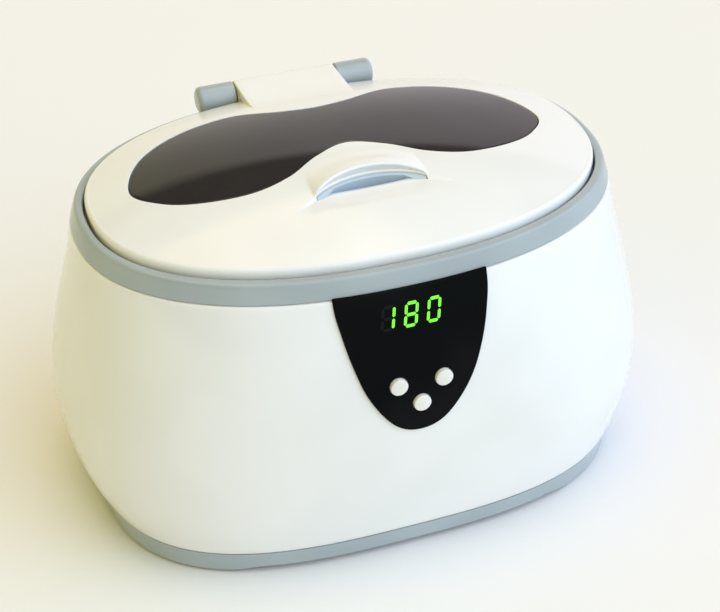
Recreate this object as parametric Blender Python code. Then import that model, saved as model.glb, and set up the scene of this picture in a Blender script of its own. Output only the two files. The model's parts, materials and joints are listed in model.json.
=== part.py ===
"""Benchtop ultrasonic cleaner for jewellery: oval housing, steel tank, hinged lid with a smoked window.

Metres, +Z up, front towards -Y. The origin is on the table under the middle of the housing.
"""

import math

import bmesh
import bpy
import numpy as np

# ---------------------------------------------------------------- driving dimensions

GAP = 0.0003  # clearance between touching pieces
SEGMENTS = 44  # points around the housing ovals

# Housing: half length, half depth and oval exponent at four heights.
STATION_Z = (0.0094, 0.0420, 0.0744, 0.1068)
STATION_A = (0.0954, 0.1046, 0.1001, 0.0937)
STATION_B = (0.0670, 0.0720, 0.0724, 0.0639)
STATION_N = (2.85, 2.63, 2.44, 2.26)
WALL = 0.0024
BODY_LOW, BODY_HIGH = 0.0094, 0.1065

RIM_Z = 0.0020  # underside of the base between the corner feet
CORNER_DROP = 0.0015  # how much lower the corner feet reach
BASE_FLOOR = 0.0024

RING_N = 2.26
RING_TOP = 0.1136
RING_BOTTOM = 0.1068
SEAT_Z = 0.1075  # ledge in the ring that carries the tank
SKIRT_LOW = 0.1025  # the ring's skirt inside the body ends here
LID_A, LID_B = 0.0882, 0.0580
LID_LOW, LID_EDGE = 0.1106, 0.1146
DOME_Z, DOME_RISE, DOME_POWER = 0.1160, 0.0110, 2.2
LID_WALL = 0.0022

TANK_A, TANK_B = 0.0790, 0.0490  # outside of the tank wall
TANK_FLOOR = 0.0540
TANK_SHEET = 0.0008

HINGE_Y, HINGE_Z = 0.0630, 0.1160
HINGE_R = 0.0050
BARREL_IN, BARREL_OUT = 0.0196, 0.0335
KNUCKLE_END = 0.0191
PIN_R, PIN_HOLE_R = 0.0015, 0.0019

BUTTON_R, BUTTON_TRAVEL = 0.0030, 0.0006
BUTTON_HOLE_R, BUTTON_COLLAR_R, BUTTON_STEM_R = 0.0033, 0.0036, 0.0013
BUTTON_PROUD = 0.0023
BUTTONS = {"button_on": (-0.0078, 0.0757), "button_off": (0.0078, 0.0757), "button_set": (0.0, 0.0680)}
PANEL_PROUD = 0.0012
DISPLAY_Z, DISPLAY_W, DISPLAY_H = 0.0982, 0.0260, 0.0090

# Shield outline of the control panel, right half: half width at each height.
SHIELD = ((0.0095, 0.1064), (0.0185, 0.1064), (0.0263, 0.1064), (0.0257, 0.1000), (0.0242, 0.0925),
          (0.0221, 0.0845), (0.0196, 0.0770), (0.0168, 0.0710), (0.0130, 0.0650), (0.0088, 0.0602),
          (0.0044, 0.0576))
SHIELD_TIP = 0.0569
SHIELD_CENTRE = 0.0880

# Window outline, right half: x and y of the points, from the rear waist round to the front waist.
WINDOW = ((0.0130, 0.0310), (0.0300, 0.0375), (0.0500, 0.0335), (0.0660, 0.0210), (0.0735, 0.0030),
          (0.0660, -0.0095), (0.0540, -0.0165), (0.0380, -0.0193), (0.0240, -0.0158), (0.0120, -0.0078))
WINDOW_REAR, WINDOW_FRONT = 0.0285, -0.0030
WINDOW_CENTRE = 0.0130

# Finger grip: a lens-shaped pocket. Its rear lip is one arc; its front is straight, bent forward at the ends.
POCKET_HALF = 0.0195
LIP_TIP_Y, LIP_DEEP, LIP_POWER = -0.0284, 0.0058, 0.85
FRONT_Y, FRONT_BEND, FRONT_DROP = -0.0282, 0.0125, 0.0020
# Brow behind the pocket: its face leans back to a crest, then a long slope fades into the dome.
BROW_RISE, BROW_LENGTH, BROW_TOE = 0.0023, 0.0130, 0.0006
CREST_Y, CREST_DEEP, CREST_HALF = -0.0276, 0.0067, 0.0205
# Tray in the pocket: its rear wall has three facets that meet at the bends.
TRAY_BEND_X, TRAY_BEND_Y, TRAY_BOW, TRAY_END = 0.0125, -0.0249, 0.0018, (0.0194, -0.0296)
GRIP_LOW, GRIP_RIM, GRIP_FLOOR, GRIP_FLANGE, GRIP_SUNK = 0.1162, 0.0004, 0.0012, 0.0012, 0.0004

# Hinge flap: leaves the dome at FLAP_START and is level with the knuckle's top from FLAP_FLAT on.
FLAP_START, FLAP_FLAT, FLAP_LOW = 0.0360, 0.0520, 0.1174

FOOT_X, FOOT_Y, FOOT_R = 0.0690, 0.0480, 0.0045
BOSS_X, BOSS_Y, BOSS_R = 0.0620, 0.0495, 0.0045
BOSS_LOW, BOSS_HIGH = 0.0142, 0.0300
RIB_HALF, RIB_LENGTH = 0.0014, 0.0100
POST_R, BOARD_POST_R = 0.0048, 0.0030
COUNTERBORE_R, SCREW_HOLE_R = 0.0034, 0.0018
SCREW_SEAT = 0.0090
VENTS, VENT_PITCH, VENT_HALF_X, VENT_HALF_Y = 8, 0.0070, 0.00125, 0.0150

POWER_BOARD = ((-0.0820, -0.0380, 0.0150), (-0.0290, 0.0380, 0.0166))
BOARD_POSTS = ((-0.0760, -0.0330), (-0.0760, 0.0330), (-0.0340, -0.0330), (-0.0340, 0.0330))
DISPLAY_BOARD = ((-0.0250, -0.0560, 0.0580), (0.0250, -0.0544, 0.1018))
INLET_X, INLET_Z = 0.0400, 0.0300
INLET_HALF_X, INLET_HALF_Z, INLET_DEEP = 0.0110, 0.0065, 0.0180
CAVITY_HALF_X, CAVITY_HALF_Z, CAVITY_DEEP = 0.0076, 0.0040, 0.0130
PIN_OFF_X, CONTACT_R = 0.0043, 0.0012


# ---------------------------------------------------------------- scene and materials

for leftover in list(bpy.data.objects):
    bpy.data.objects.remove(leftover, do_unlink=True)

FINISHES = {
    "white_plastic": ((0.86, 0.86, 0.84), 0.18, 0.0),
    "grey_plastic": ((0.42, 0.46, 0.48), 0.35, 0.0),
    "smoked_plastic": ((0.05, 0.04, 0.05), 0.08, 0.0),
    "black_plastic": ((0.01, 0.01, 0.012), 0.08, 0.0),
    "button_plastic": ((0.90, 0.90, 0.88), 0.30, 0.0),
    "moulded_black": ((0.03, 0.03, 0.03), 0.50, 0.0),
    "rubber": ((0.05, 0.05, 0.05), 0.85, 0.0),
    "stainless": ((0.72, 0.72, 0.72), 0.28, 1.0),
    "aluminium": ((0.80, 0.80, 0.81), 0.35, 1.0),
    "brass": ((0.78, 0.60, 0.28), 0.35, 1.0),
    "copper": ((0.70, 0.34, 0.18), 0.35, 1.0),
    "ferrite": ((0.12, 0.12, 0.13), 0.60, 0.0),
    "piezo_ceramic": ((0.70, 0.66, 0.52), 0.60, 0.0),
    "circuit_board": ((0.03, 0.22, 0.10), 0.45, 0.0),
    "blue_plastic": ((0.04, 0.10, 0.40), 0.40, 0.0),
    "yellow_plastic": ((0.75, 0.55, 0.08), 0.40, 0.0),
    "clear_glass": ((0.85, 0.88, 0.88), 0.05, 0.0),
    "wire_insulation": ((0.55, 0.04, 0.03), 0.50, 0.0),
}
MATERIALS = {}
for finish, (colour, roughness, metallic) in FINISHES.items():
    material = bpy.data.materials.new(finish)
    material.use_nodes = True
    shader = material.node_tree.nodes["Principled BSDF"]
    shader.inputs["Base Color"].default_value = (*colour, 1.0)
    shader.inputs["Roughness"].default_value = roughness
    shader.inputs["Metallic"].default_value = metallic
    MATERIALS[finish] = material


# ---------------------------------------------------------------- mesh helpers


def make_object(name, vertices, faces, finish=None):
    """A mesh object with its normals facing out, shaded smooth where it is round."""
    mesh = bpy.data.meshes.new(name)
    mesh.from_pydata([tuple(map(float, v)) for v in vertices], [], faces)
    work = bmesh.new()
    work.from_mesh(mesh)
    bmesh.ops.recalc_face_normals(work, faces=work.faces)
    if work.calc_volume(signed=True) < 0:
        bmesh.ops.reverse_faces(work, faces=work.faces)
    work.to_mesh(mesh)
    work.free()
    mesh.shade_smooth()
    mesh.set_sharp_from_angle(angle=math.radians(40))
    thing = bpy.data.objects.new(name, mesh)
    bpy.context.scene.collection.objects.link(thing)
    if finish:
        mesh.materials.append(MATERIALS[finish])
    return thing


def loft(name, loops, finish=None, ring=False):
    """Joins loops of equal length with quads: closed on itself as a ring, or capped at both ends."""
    count = len(loops[0])
    faces = []
    pairs = len(loops) if ring else len(loops) - 1
    for k in range(pairs):
        low, high = k * count, ((k + 1) % len(loops)) * count
        for i in range(count):
            j = (i + 1) % count
            faces.append((low + i, low + j, high + j, high + i))
    if not ring:
        faces.append(tuple(range(count)))
        faces.append(tuple(range((len(loops) - 1) * count, len(loops) * count)))
    return make_object(name, np.vstack(loops), faces, finish)


def oval(a, b, n, z, count=SEGMENTS):
    """A superellipse: |x/a|^n + |y/b|^n = 1 at height z."""
    t = np.arange(count) * 2 * math.pi / count
    c, s = np.cos(t), np.sin(t)
    x = a * np.sign(c) * np.abs(c) ** (2 / n)
    y = b * np.sign(s) * np.abs(s) ** (2 / n)
    return np.stack([x, y, np.full(count, z)], axis=1)


def box(name, low, high, finish=None):
    (x0, y0, z0), (x1, y1, z1) = low, high
    foot = [(x0, y0, z0), (x1, y0, z0), (x1, y1, z0), (x0, y1, z0)]
    top = [(x, y, z1) for x, y, _ in foot]
    return loft(name, [np.array(foot), np.array(top)], finish)


def turned(name, profile, origin, axis, finish=None, count=20, ring=False):
    """A solid of revolution: profile is (distance along axis, radius) pairs."""
    t = np.arange(count) * 2 * math.pi / count
    across, up = {"x": (1, 2), "y": (2, 0), "z": (0, 1)}[axis]
    along = "xyz".index(axis)
    loops = []
    for distance, radius in profile:
        loop = np.zeros((count, 3))
        loop[:, across] = radius * np.cos(t)
        loop[:, up] = radius * np.sin(t)
        loop[:, along] = distance
        loops.append(loop + np.array(origin))
    return loft(name, loops, finish, ring)


def pierced(name, inner, outer, low, high, origin, axis, finish=None, count=20):
    """A plain ring: a short tube between two radii."""
    profile = [(low, outer), (high, outer), (high, inner), (low, inner)]
    return turned(name, profile, origin, axis, finish, count, ring=True)


def apply_boolean(thing, tool, operation):
    """Applies one exact Boolean and removes the tool."""
    modifier = thing.modifiers.new("cut", "BOOLEAN")
    modifier.object = tool
    modifier.operation = operation
    modifier.solver = "EXACT"
    graph = bpy.context.evaluated_depsgraph_get()
    mesh = bpy.data.meshes.new_from_object(thing.evaluated_get(graph), depsgraph=graph)
    thing.modifiers.clear()
    old = thing.data
    thing.data = mesh
    bpy.data.meshes.remove(old)
    mesh.name = thing.name
    bpy.data.objects.remove(tool, do_unlink=True)
    mesh.set_sharp_from_angle(angle=math.radians(40))


def cut(thing, *tools):
    for tool in tools:
        apply_boolean(thing, tool, "DIFFERENCE")


def join(thing, *tools):
    for tool in tools:
        apply_boolean(thing, tool, "UNION")


def cable(name, points, radius, finish="wire_insulation"):
    """A round wire through the points, on a smooth curve read at even steps."""
    knots = np.array(points)
    steps = np.linspace(0, len(knots) - 1, 4 * (len(knots) - 1) + 1)
    padded = np.vstack([2 * knots[0] - knots[1], knots, 2 * knots[-1] - knots[-2]])
    route = []
    for step in steps:
        k = min(int(step), len(knots) - 2)
        t = step - k
        p0, p1, p2, p3 = padded[k : k + 4]
        route.append(0.5 * (2 * p1 + (p2 - p0) * t + (2 * p0 - 5 * p1 + 4 * p2 - p3) * t**2
                            + (3 * p1 - p0 - 3 * p2 + p3) * t**3))
    curve = bpy.data.curves.new(name, "CURVE")
    curve.dimensions = "3D"
    curve.bevel_depth = radius
    curve.bevel_resolution = 1
    curve.use_fill_caps = True
    spline = curve.splines.new("POLY")
    spline.points.add(len(route) - 1)
    for point, place in zip(spline.points, route):
        point.co = (*place, 1.0)
    curve.materials.append(MATERIALS[finish])
    thing = bpy.data.objects.new(name, curve)
    bpy.context.scene.collection.objects.link(thing)
    return thing


# ---------------------------------------------------------------- housing surfaces


def station(values, z):
    """Reads one station list at height z on the cubic through its four values."""
    return np.polyval(np.polyfit(STATION_Z, values, 3), z)


def body_oval(z, inset=0.0):
    return oval(station(STATION_A, z) - inset, station(STATION_B, z) - inset, station(STATION_N, z), z)


def body_front(x, z):
    """Distance of the housing's outer surface from the XZ plane at (x, z)."""
    a, b, n = station(STATION_A, z), station(STATION_B, z), station(STATION_N, z)
    return b * (1 - (np.abs(x) / a) ** n) ** (1 / n)


def dome(x, y):
    """Height of the lid's outer surface."""
    q = ((np.abs(x) / LID_A) ** RING_N + (np.abs(y) / LID_B) ** RING_N) ** (1 / RING_N)
    return DOME_Z + DOME_RISE * (1 - np.minimum(q, 1.0) ** DOME_POWER)


def mirrored_outline(half, first, last):
    """A closed outline from its right half, with the two points that lie on the mirror line."""
    right = list(half)
    left = [(-x, y) for x, y in reversed(right)]
    return np.array([(0.0, first)] + right + [(0.0, last)] + left)


def smoothed(outline, per_span):
    """Even points on a closed Catmull-Rom curve through the outline."""
    count = len(outline)
    found = []
    for k in range(count):
        p0, p1, p2, p3 = (outline[(k + i) % count] for i in (-1, 0, 1, 2))
        for step in range(per_span):
            t = step / per_span
            found.append(0.5 * (2 * p1 + (p2 - p0) * t + (2 * p0 - 5 * p1 + 4 * p2 - p3) * t**2
                                + (3 * p1 - p0 - 3 * p2 + p3) * t**3))
    return np.array(found)


def offset(outline, distance):
    """Moves each point of a closed clockwise outline along its outward normal."""
    ahead, behind = np.roll(outline, -1, axis=0), np.roll(outline, 1, axis=0)
    along = ahead - behind
    normal = np.stack([-along[:, 1], along[:, 0]], axis=1)
    normal /= np.linalg.norm(normal, axis=1, keepdims=True)
    return outline + distance * normal


def lid_edge_along(angles, centre_y, inset=0.0):
    """Where rays from (0, centre_y) meet the lid's oval, by bisection."""
    near, far = np.zeros(len(angles)), np.full(len(angles), 0.2)
    a, b = LID_A - inset, LID_B - inset
    for _ in range(40):
        middle = (near + far) / 2
        x, y = middle * np.cos(angles), centre_y + middle * np.sin(angles)
        inside = (np.abs(x) / a) ** RING_N + (np.abs(y) / b) ** RING_N < 1
        near, far = np.where(inside, middle, near), np.where(inside, far, middle)
    return np.stack([near * np.cos(angles), centre_y + near * np.sin(angles)], axis=1)


WINDOW_OUTLINE = smoothed(mirrored_outline(WINDOW, WINDOW_REAR, WINDOW_FRONT), 2)
SHIELD_OUTLINE = mirrored_outline(SHIELD, SHIELD[0][1], SHIELD_TIP)


# ---------------------------------------------------------------- body shell and base


def make_body_shell():
    heights = np.linspace(BODY_LOW, BODY_HIGH, 7)
    loops = [body_oval(z) for z in heights] + [body_oval(z, WALL) for z in heights[::-1]]
    shell = loft("body_shell", loops, "white_plastic", ring=True)
    for side_x in (-1, 1):
        for side_y in (-1, 1):
            x, y = side_x * BOSS_X, side_y * BOSS_Y
            boss = turned("boss", [(BOSS_LOW, BOSS_R), (BOSS_HIGH, BOSS_R)], (x, y, 0), "z", count=12)
            rib_low, rib_high = sorted((y, y + side_y * RIB_LENGTH))
            join(boss, box("rib", (x - RIB_HALF, rib_low, BOSS_LOW + 0.0008),
                           (x + RIB_HALF, rib_high, BOSS_HIGH - 0.0008)))
            join(shell, boss)
            pilot = [(BOSS_LOW - 0.0040, SCREW_HOLE_R), (BOSS_HIGH - 0.0030, SCREW_HOLE_R)]
            cut(shell, turned("pilot", pilot, (x, y, 0), "z", count=10))
    for x, z in BUTTONS.values():
        cut(shell, turned("hole", through_front(BUTTON_HOLE_R), (x, 0, z), "y", count=14))
    cut(shell, box("hole", (-DISPLAY_W / 2, -0.0800, DISPLAY_Z - DISPLAY_H / 2),
                   (DISPLAY_W / 2, -0.0550, DISPLAY_Z + DISPLAY_H / 2)))
    cut(shell, box("hole", (INLET_X - INLET_HALF_X - GAP, 0.0500, INLET_Z - INLET_HALF_Z - GAP),
                   (INLET_X + INLET_HALF_X + GAP, 0.0900, INLET_Z + INLET_HALF_Z + GAP)))
    return shell


def through_front(radius):
    """Profile of a round tool that passes right through the front wall."""
    return [(-0.0800, radius), (-0.0600, radius)]


def corner_weight(loop):
    """1 over a corner foot, 0 along the straight runs."""
    x, y = np.abs(loop[:, 0]), np.abs(loop[:, 1])
    return np.where((x > 0.047) & (y > 0.020), 1.0, 0.0)


def make_base_plate():
    low_a, low_b, low_n = (station(v, BODY_LOW) for v in (STATION_A, STATION_B, STATION_N))

    def level(inset, z, drop=0.0):
        loop = oval(low_a - inset, low_b - inset, low_n, z)
        loop[:, 2] -= drop * corner_weight(loop)
        return loop

    floor_top = RIM_Z + BASE_FLOOR
    loops = [
        level(0.0110, RIM_Z), level(0.0105, RIM_Z, CORNER_DROP), level(0.0018, RIM_Z, CORNER_DROP),
        level(0.0009, RIM_Z + 0.0010, CORNER_DROP), level(0.0002, BODY_LOW - GAP),
        level(0.0029, BODY_LOW - GAP), level(0.0029, 0.0130), level(0.0050, 0.0130),
        level(0.0060, floor_top),
    ]
    plate = loft("base_plate", loops, "grey_plastic")
    for side_x in (-1, 1):
        for side_y in (-1, 1):
            place = (side_x * BOSS_X, side_y * BOSS_Y, 0.0)
            post = [(0.0030, POST_R), (BOSS_LOW - 0.0006, POST_R)]
            join(plate, turned("post", post, place, "z", count=16))
            counterbore = [(-0.0050, COUNTERBORE_R), (SCREW_SEAT, COUNTERBORE_R)]
            cut(plate, turned("counterbore", counterbore, place, "z", count=14))
            through = [(0.0050, SCREW_HOLE_R), (0.0200, SCREW_HOLE_R)]
            cut(plate, turned("through", through, place, "z", count=10))
            foot = (side_x * FOOT_X, side_y * FOOT_Y, 0.0)
            recess = [(-0.0050, FOOT_R + GAP), (RIM_Z, FOOT_R + GAP)]
            cut(plate, turned("recess", recess, foot, "z", count=16))
    board_low = POWER_BOARD[0][2]
    for x, y in BOARD_POSTS:
        post = [(0.0030, BOARD_POST_R), (board_low - GAP, BOARD_POST_R)]
        join(plate, turned("post", post, (x, y, 0), "z", count=10))
    for k in range(VENTS):
        x = (k - (VENTS - 1) / 2) * VENT_PITCH
        cut(plate, box("vent", (x - VENT_HALF_X, -VENT_HALF_Y, 0.0), (x + VENT_HALF_X, VENT_HALF_Y, 0.0080)))
    return plate


def make_feet_and_screws():
    number = 0
    for side_x in (-1, 1):
        for side_y in (-1, 1):
            number += 1
            pad = [(0.0, FOOT_R - 0.0004), (0.0004, FOOT_R), (RIM_Z - GAP, FOOT_R)]
            turned(f"rubber_foot_{number}", pad, (side_x * FOOT_X, side_y * FOOT_Y, 0), "z", "rubber", 14)
            seat = (side_x * BOSS_X, side_y * BOSS_Y, SCREW_SEAT - GAP)
            screw(f"base_screw_{number}", seat, -1, head_r=0.0028, head_h=0.0020, shank_r=0.0014,
                  length=0.0155)


def screw(name, seat, facing, head_r, head_h, shank_r, length):
    """A cross-head screw whose head sits below (-1) or above (+1) its seat."""
    x, y, z = seat
    profile = [(facing * head_h, head_r * 0.8), (facing * head_h * 0.6, head_r), (0.0, head_r),
               (0.0, shank_r), (-facing * (length - shank_r), shank_r), (-facing * length, shank_r * 0.3)]
    body = turned(name, profile, (x, y, z), "z", "stainless", 8)
    arm, depth = head_r * 0.55, head_h * 0.5
    low_z, high_z = sorted((z + facing * (head_h - depth), z + facing * head_h * 2))
    for half_x, half_y in ((arm, head_r * 0.12), (head_r * 0.12, arm)):
        cut(body, box("slot", (x - half_x, y - half_y, low_z), (x + half_x, y + half_y, high_z)))
    return body


# ---------------------------------------------------------------- top ring, tank and hinge


def ring_oval(a, b, z):
    return oval(a, b, RING_N, z)


def make_top_bezel():
    seat_a, seat_b = LID_A - 0.0077, LID_B - 0.0075
    loops = [
        ring_oval(0.0937, 0.0639, RING_BOTTOM), ring_oval(0.0917, 0.0627, RING_TOP - 0.0008),
        ring_oval(0.0909, 0.0619, RING_TOP), ring_oval(0.0892, 0.0592, RING_TOP),
        ring_oval(0.0889, 0.0588, RING_TOP - 0.0004), ring_oval(0.0889, 0.0588, SEAT_Z),
        ring_oval(seat_a, seat_b, SEAT_Z), ring_oval(seat_a, seat_b, 0.1050),
        ring_oval(0.0884, 0.0584, 0.1042), ring_oval(0.0888, 0.0590, SKIRT_LOW),
        ring_oval(0.0908, 0.0610, SKIRT_LOW), ring_oval(0.0908, 0.0610, RING_BOTTOM),
    ]
    bezel = loft("top_bezel", loops, "grey_plastic", ring=True)
    axis = (0.0, HINGE_Y, HINGE_Z)
    groove = HINGE_R + 0.0005
    cut(bezel, turned("groove", [(-BARREL_IN, groove), (BARREL_IN, groove)], axis, "x", count=20))
    for side in (-1, 1):
        inner, outer = side * BARREL_IN, side * BARREL_OUT
        low_x, high_x = sorted((inner + side * 0.0006, outer - side * 0.0020))
        join(bezel, box("bracket", (low_x, HINGE_Y - 0.0030, 0.1080), (high_x, HINGE_Y + 0.0036, HINGE_Z)))
        profile = [(inner, HINGE_R), (outer - side * 0.0016, HINGE_R),
                   (outer - side * 0.0005, HINGE_R - 0.0006), (outer, HINGE_R - 0.0020)]
        join(bezel, turned("barrel", profile, axis, "x", count=20))
        ends = sorted((inner - side * 0.0010, outer - side * 0.0030))
        cut(bezel, turned("bore", [(end, PIN_HOLE_R) for end in ends], axis, "x", count=12))
    return bezel


def make_tank():
    floor_a, floor_b = TANK_A - 0.0050, TANK_B - 0.0050
    s = TANK_SHEET
    flange_z = SEAT_Z + 0.0016
    loops = [
        oval(floor_a - 0.0090, floor_b - 0.0090, RING_N, TANK_FLOOR),
        oval(floor_a - 0.0020, floor_b - 0.0020, RING_N, TANK_FLOOR + 0.0035),
        oval(floor_a, floor_b, RING_N, TANK_FLOOR + 0.0100),
        oval(TANK_A, TANK_B, RING_N, flange_z - 0.0030),
        oval(TANK_A + 0.0015, TANK_B + 0.0015, RING_N, flange_z),
        oval(0.0862, 0.0560, RING_N, flange_z),
        oval(0.0862, 0.0560, RING_N, flange_z + s),
        oval(TANK_A + 0.0007, TANK_B + 0.0007, RING_N, flange_z + s),
        oval(TANK_A - s, TANK_B - s, RING_N, flange_z - 0.0030),
        oval(floor_a - s, floor_b - s, RING_N, TANK_FLOOR + 0.0100),
        oval(floor_a - 0.0030, floor_b - 0.0030, RING_N, TANK_FLOOR + 0.0042),
        oval(floor_a - 0.0095, floor_b - 0.0095, RING_N, TANK_FLOOR + s),
    ]
    loft("tank", loops, "stainless")
    seal = [oval(a, b, RING_N, z) for a, b, z in (
        (0.0866, 0.0564, SEAT_Z + GAP), (0.0866, 0.0564, SEAT_Z + 0.0013),
        (0.0826, 0.0526, SEAT_Z + 0.0013), (0.0826, 0.0526, SEAT_Z + GAP))]
    loft("tank_seal", seal, "rubber", ring=True)


def make_hinge_pin():
    end, ease = BARREL_OUT - 0.0034, 0.0004
    profile = [(-end, PIN_R - ease), (ease - end, PIN_R), (end - ease, PIN_R), (end, PIN_R - ease)]
    turned("hinge_pin", profile, (0, HINGE_Y, HINGE_Z), "x", "stainless", 16)


# ---------------------------------------------------------------- lid


def dome_loop(points, drop=0.0):
    return np.column_stack([points, dome(points[:, 0], points[:, 1]) - drop])


def lip_line(x):
    """Rear edge of the pocket: tip + deep (1 - (x / half)^2)^0.85."""
    return LIP_TIP_Y + LIP_DEEP * np.clip(1 - (x / POCKET_HALF) ** 2, 0, None) ** LIP_POWER


def front_line(x):
    """Front edge of the pocket: straight, then dropping forward over the last stretch to either end."""
    return FRONT_Y - FRONT_DROP * np.clip((np.abs(x) - FRONT_BEND) / (POCKET_HALF - FRONT_BEND), 0, 1)


def tray_line(x):
    """Rear wall of the tray: a bowed middle between the bends and a straight run to either end."""
    middle = TRAY_BEND_Y + TRAY_BOW * np.clip(1 - (x / TRAY_BEND_X) ** 2, 0, None)
    share = np.clip((np.abs(x) - TRAY_BEND_X) / (TRAY_END[0] - TRAY_BEND_X), 0, None)
    return middle + share * (TRAY_END[1] - TRAY_BEND_Y)


def pocket_plan(inset, rear=lip_line, steps=20):
    """The pocket from above, drawn in by an inset: the rear line, then the front."""
    x = np.linspace(-POCKET_HALF, POCKET_HALF, 1201)
    back = rear(x) - inset * np.sqrt(1 + np.gradient(rear(x), x) ** 2)
    front = front_line(x) + inset * np.sqrt(1 + np.gradient(front_line(x), x) ** 2)
    open_x = x[(back > front + 0.0001) & (np.abs(x) <= POCKET_HALF - inset)]
    even = np.linspace(open_x[0], open_x[-1], steps)
    rear_half = np.column_stack([even, np.interp(even, x, back)])
    return np.vstack([rear_half, np.column_stack([even, np.interp(even, x, front)])[::-1]])


def make_brow():
    """The raised brow: a face that leans back to the crest and a slope that fades into the dome."""
    sections = []
    for x in np.linspace(-0.92, 0.92, 13) * POCKET_HALF:
        width = 1 - (x / POCKET_HALF) ** 2
        toe = float(lip_line(x)) - BROW_TOE
        crest = CREST_Y + CREST_DEEP * (1 - (x / CREST_HALF) ** 2)
        back = crest + 0.80 * BROW_LENGTH
        section = [(x, toe, dome(x, toe) - 0.0010), (x, toe, dome(x, toe) + 0.0001)]
        for share in (0.0, 0.15, 0.35, 0.60):
            y = crest + share * BROW_LENGTH
            rise = BROW_RISE * width**0.9 * (1 - share) ** 2 * (1 + 2 * share)
            section.append((x, y, dome(x, y) + rise))
        section.append((x, back, dome(x, back) - 0.0010))
        sections.append(np.array(section))
    return loft("brow", sections)


def make_pocket():
    """The opening cut through the lid for the tray."""
    plan = pocket_plan(0.0)
    return loft("pocket", [np.column_stack([plan, np.full(len(plan), z)]) for z in (0.1120, 0.1350)])


def make_lid_grip():
    """The grey tray that fills the pocket, held by a flange under the lid."""
    under, edge = LID_WALL + GAP + 0.0002, GAP + 0.00015

    def level(inset, drop, rear=lip_line):
        plan = pocket_plan(inset, rear)
        return dome_loop(plan, drop)

    def flat(inset, z, rear=lip_line):
        plan = pocket_plan(inset, rear)
        return np.column_stack([plan, np.full(len(plan), z)])

    loops = [
        flat(0.0002, GRIP_LOW), level(0.0002, under + 0.0010),
        level(-GRIP_FLANGE, under + 0.0010), level(-GRIP_FLANGE, under),
        level(edge, under), level(edge, GRIP_SUNK),
        level(edge + GRIP_RIM, GRIP_SUNK, tray_line), flat(edge + GRIP_RIM, GRIP_LOW + GRIP_FLOOR, tray_line),
    ]
    return loft("lid_grip", loops, "grey_plastic")


def window_angles():
    return np.arctan2(WINDOW_OUTLINE[:, 1] - WINDOW_CENTRE, WINDOW_OUTLINE[:, 0])


LUG_R = 0.0026
RETAINER_SCREWS = ((-0.0760, 0.0130), (0.0760, 0.0130), (-0.0250, -0.0205), (0.0250, -0.0205))


def flap_section(x):
    """The flap at x: its top leaves the dome in a soft curve and runs level to the knuckle."""
    top = HINGE_Z + HINGE_R
    start = float(dome(x, FLAP_START))
    section = [(x, FLAP_START, start - 0.0016)]
    for y in np.linspace(FLAP_START, FLAP_FLAT, 5):
        share = (FLAP_FLAT - y) / (FLAP_FLAT - FLAP_START)
        section.append((x, y, top + (start - 0.0001 - top) * share**2))
    section += [(x, HINGE_Y, top), (x, HINGE_Y, FLAP_LOW), (x, 0.0540, FLAP_LOW)]
    return np.array(section)


def make_lid_shell():
    angles = window_angles()
    edge_top = lid_edge_along(angles, WINDOW_CENTRE, 0.0010)
    edge_inner = lid_edge_along(angles, WINDOW_CENTRE, 0.0026)
    rim = lid_edge_along(angles, WINDOW_CENTRE)
    shares = (0.0, 0.3, 0.6, 0.85)
    top = [dome_loop(WINDOW_OUTLINE + share * (edge_top - WINDOW_OUTLINE)) for share in shares]
    under = [dome_loop(WINDOW_OUTLINE + share * (edge_inner - WINDOW_OUTLINE), LID_WALL) for share in shares]
    crown = dome_loop(edge_top)
    crown[:, 2] = DOME_Z
    loops = top + [crown]
    loops.append(np.column_stack([rim, np.full(len(rim), LID_EDGE)]))
    loops.append(np.column_stack([rim, np.full(len(rim), LID_LOW)]))
    loops.append(np.column_stack([edge_inner, np.full(len(rim), LID_LOW)]))
    loops.append(np.column_stack([edge_inner, np.full(len(rim), DOME_Z - LID_WALL)]))
    shell = loft("lid_shell", loops + under[::-1], "white_plastic", ring=True)

    axis = (0.0, HINGE_Y, HINGE_Z)
    join(shell, loft("flap", [flap_section(x) for x in (-KNUCKLE_END, 0.0, KNUCKLE_END)]))
    join(shell, turned("knuckle", [(-KNUCKLE_END, HINGE_R), (KNUCKLE_END, HINGE_R)], axis, "x", count=20))
    cut(shell, turned("bore", [(-0.0250, PIN_HOLE_R), (0.0250, PIN_HOLE_R)], axis, "x", count=12))
    join(shell, make_brow())
    cut(shell, make_pocket())
    for x, y in RETAINER_SCREWS:
        z = float(dome(x, y)) - LID_WALL
        cut(shell, turned("pilot", [(z - 0.0030, 0.0011), (z + 0.0012, 0.0011)], (x, y, 0), "z", count=8))
    return shell


def make_window():
    outline = offset(WINDOW_OUTLINE, -0.00035)
    centre = np.array([0.0, WINDOW_CENTRE])
    scales = (0.25, 0.55, 0.80, 1.0)
    top = [dome_loop(centre + s * (outline - centre), 0.0002) for s in scales]
    under = [dome_loop(centre + s * (outline - centre), 0.0018) for s in scales]
    loft("lid_window", top + under[::-1], "smoked_plastic")


def make_retainer():
    inner, outer = offset(WINDOW_OUTLINE, -0.0030), offset(WINDOW_OUTLINE, 0.0030)
    high, low = LID_WALL + GAP, LID_WALL + 0.0016
    frame = loft("window_retainer", [dome_loop(inner, high), dome_loop(outer, high), dome_loop(outer, low),
                                     dome_loop(inner, low)], "grey_plastic", ring=True)
    for number, (x, y) in enumerate(RETAINER_SCREWS, 1):
        surface = float(dome(x, y))
        seat = surface - low - 0.0010
        lug = [(seat, LUG_R), (surface - high - 0.0009, LUG_R)]
        join(frame, turned("lug", lug, (x, y, 0), "z", count=12))
        cut(frame, turned("hole", [(seat - 0.0020, 0.0012), (surface, 0.0012)], (x, y, 0), "z", count=8))
        screw(f"retainer_screw_{number}", (x, y, seat - GAP), -1, head_r=0.0020, head_h=0.0012,
              shank_r=0.0008, length=0.0036)


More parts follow.
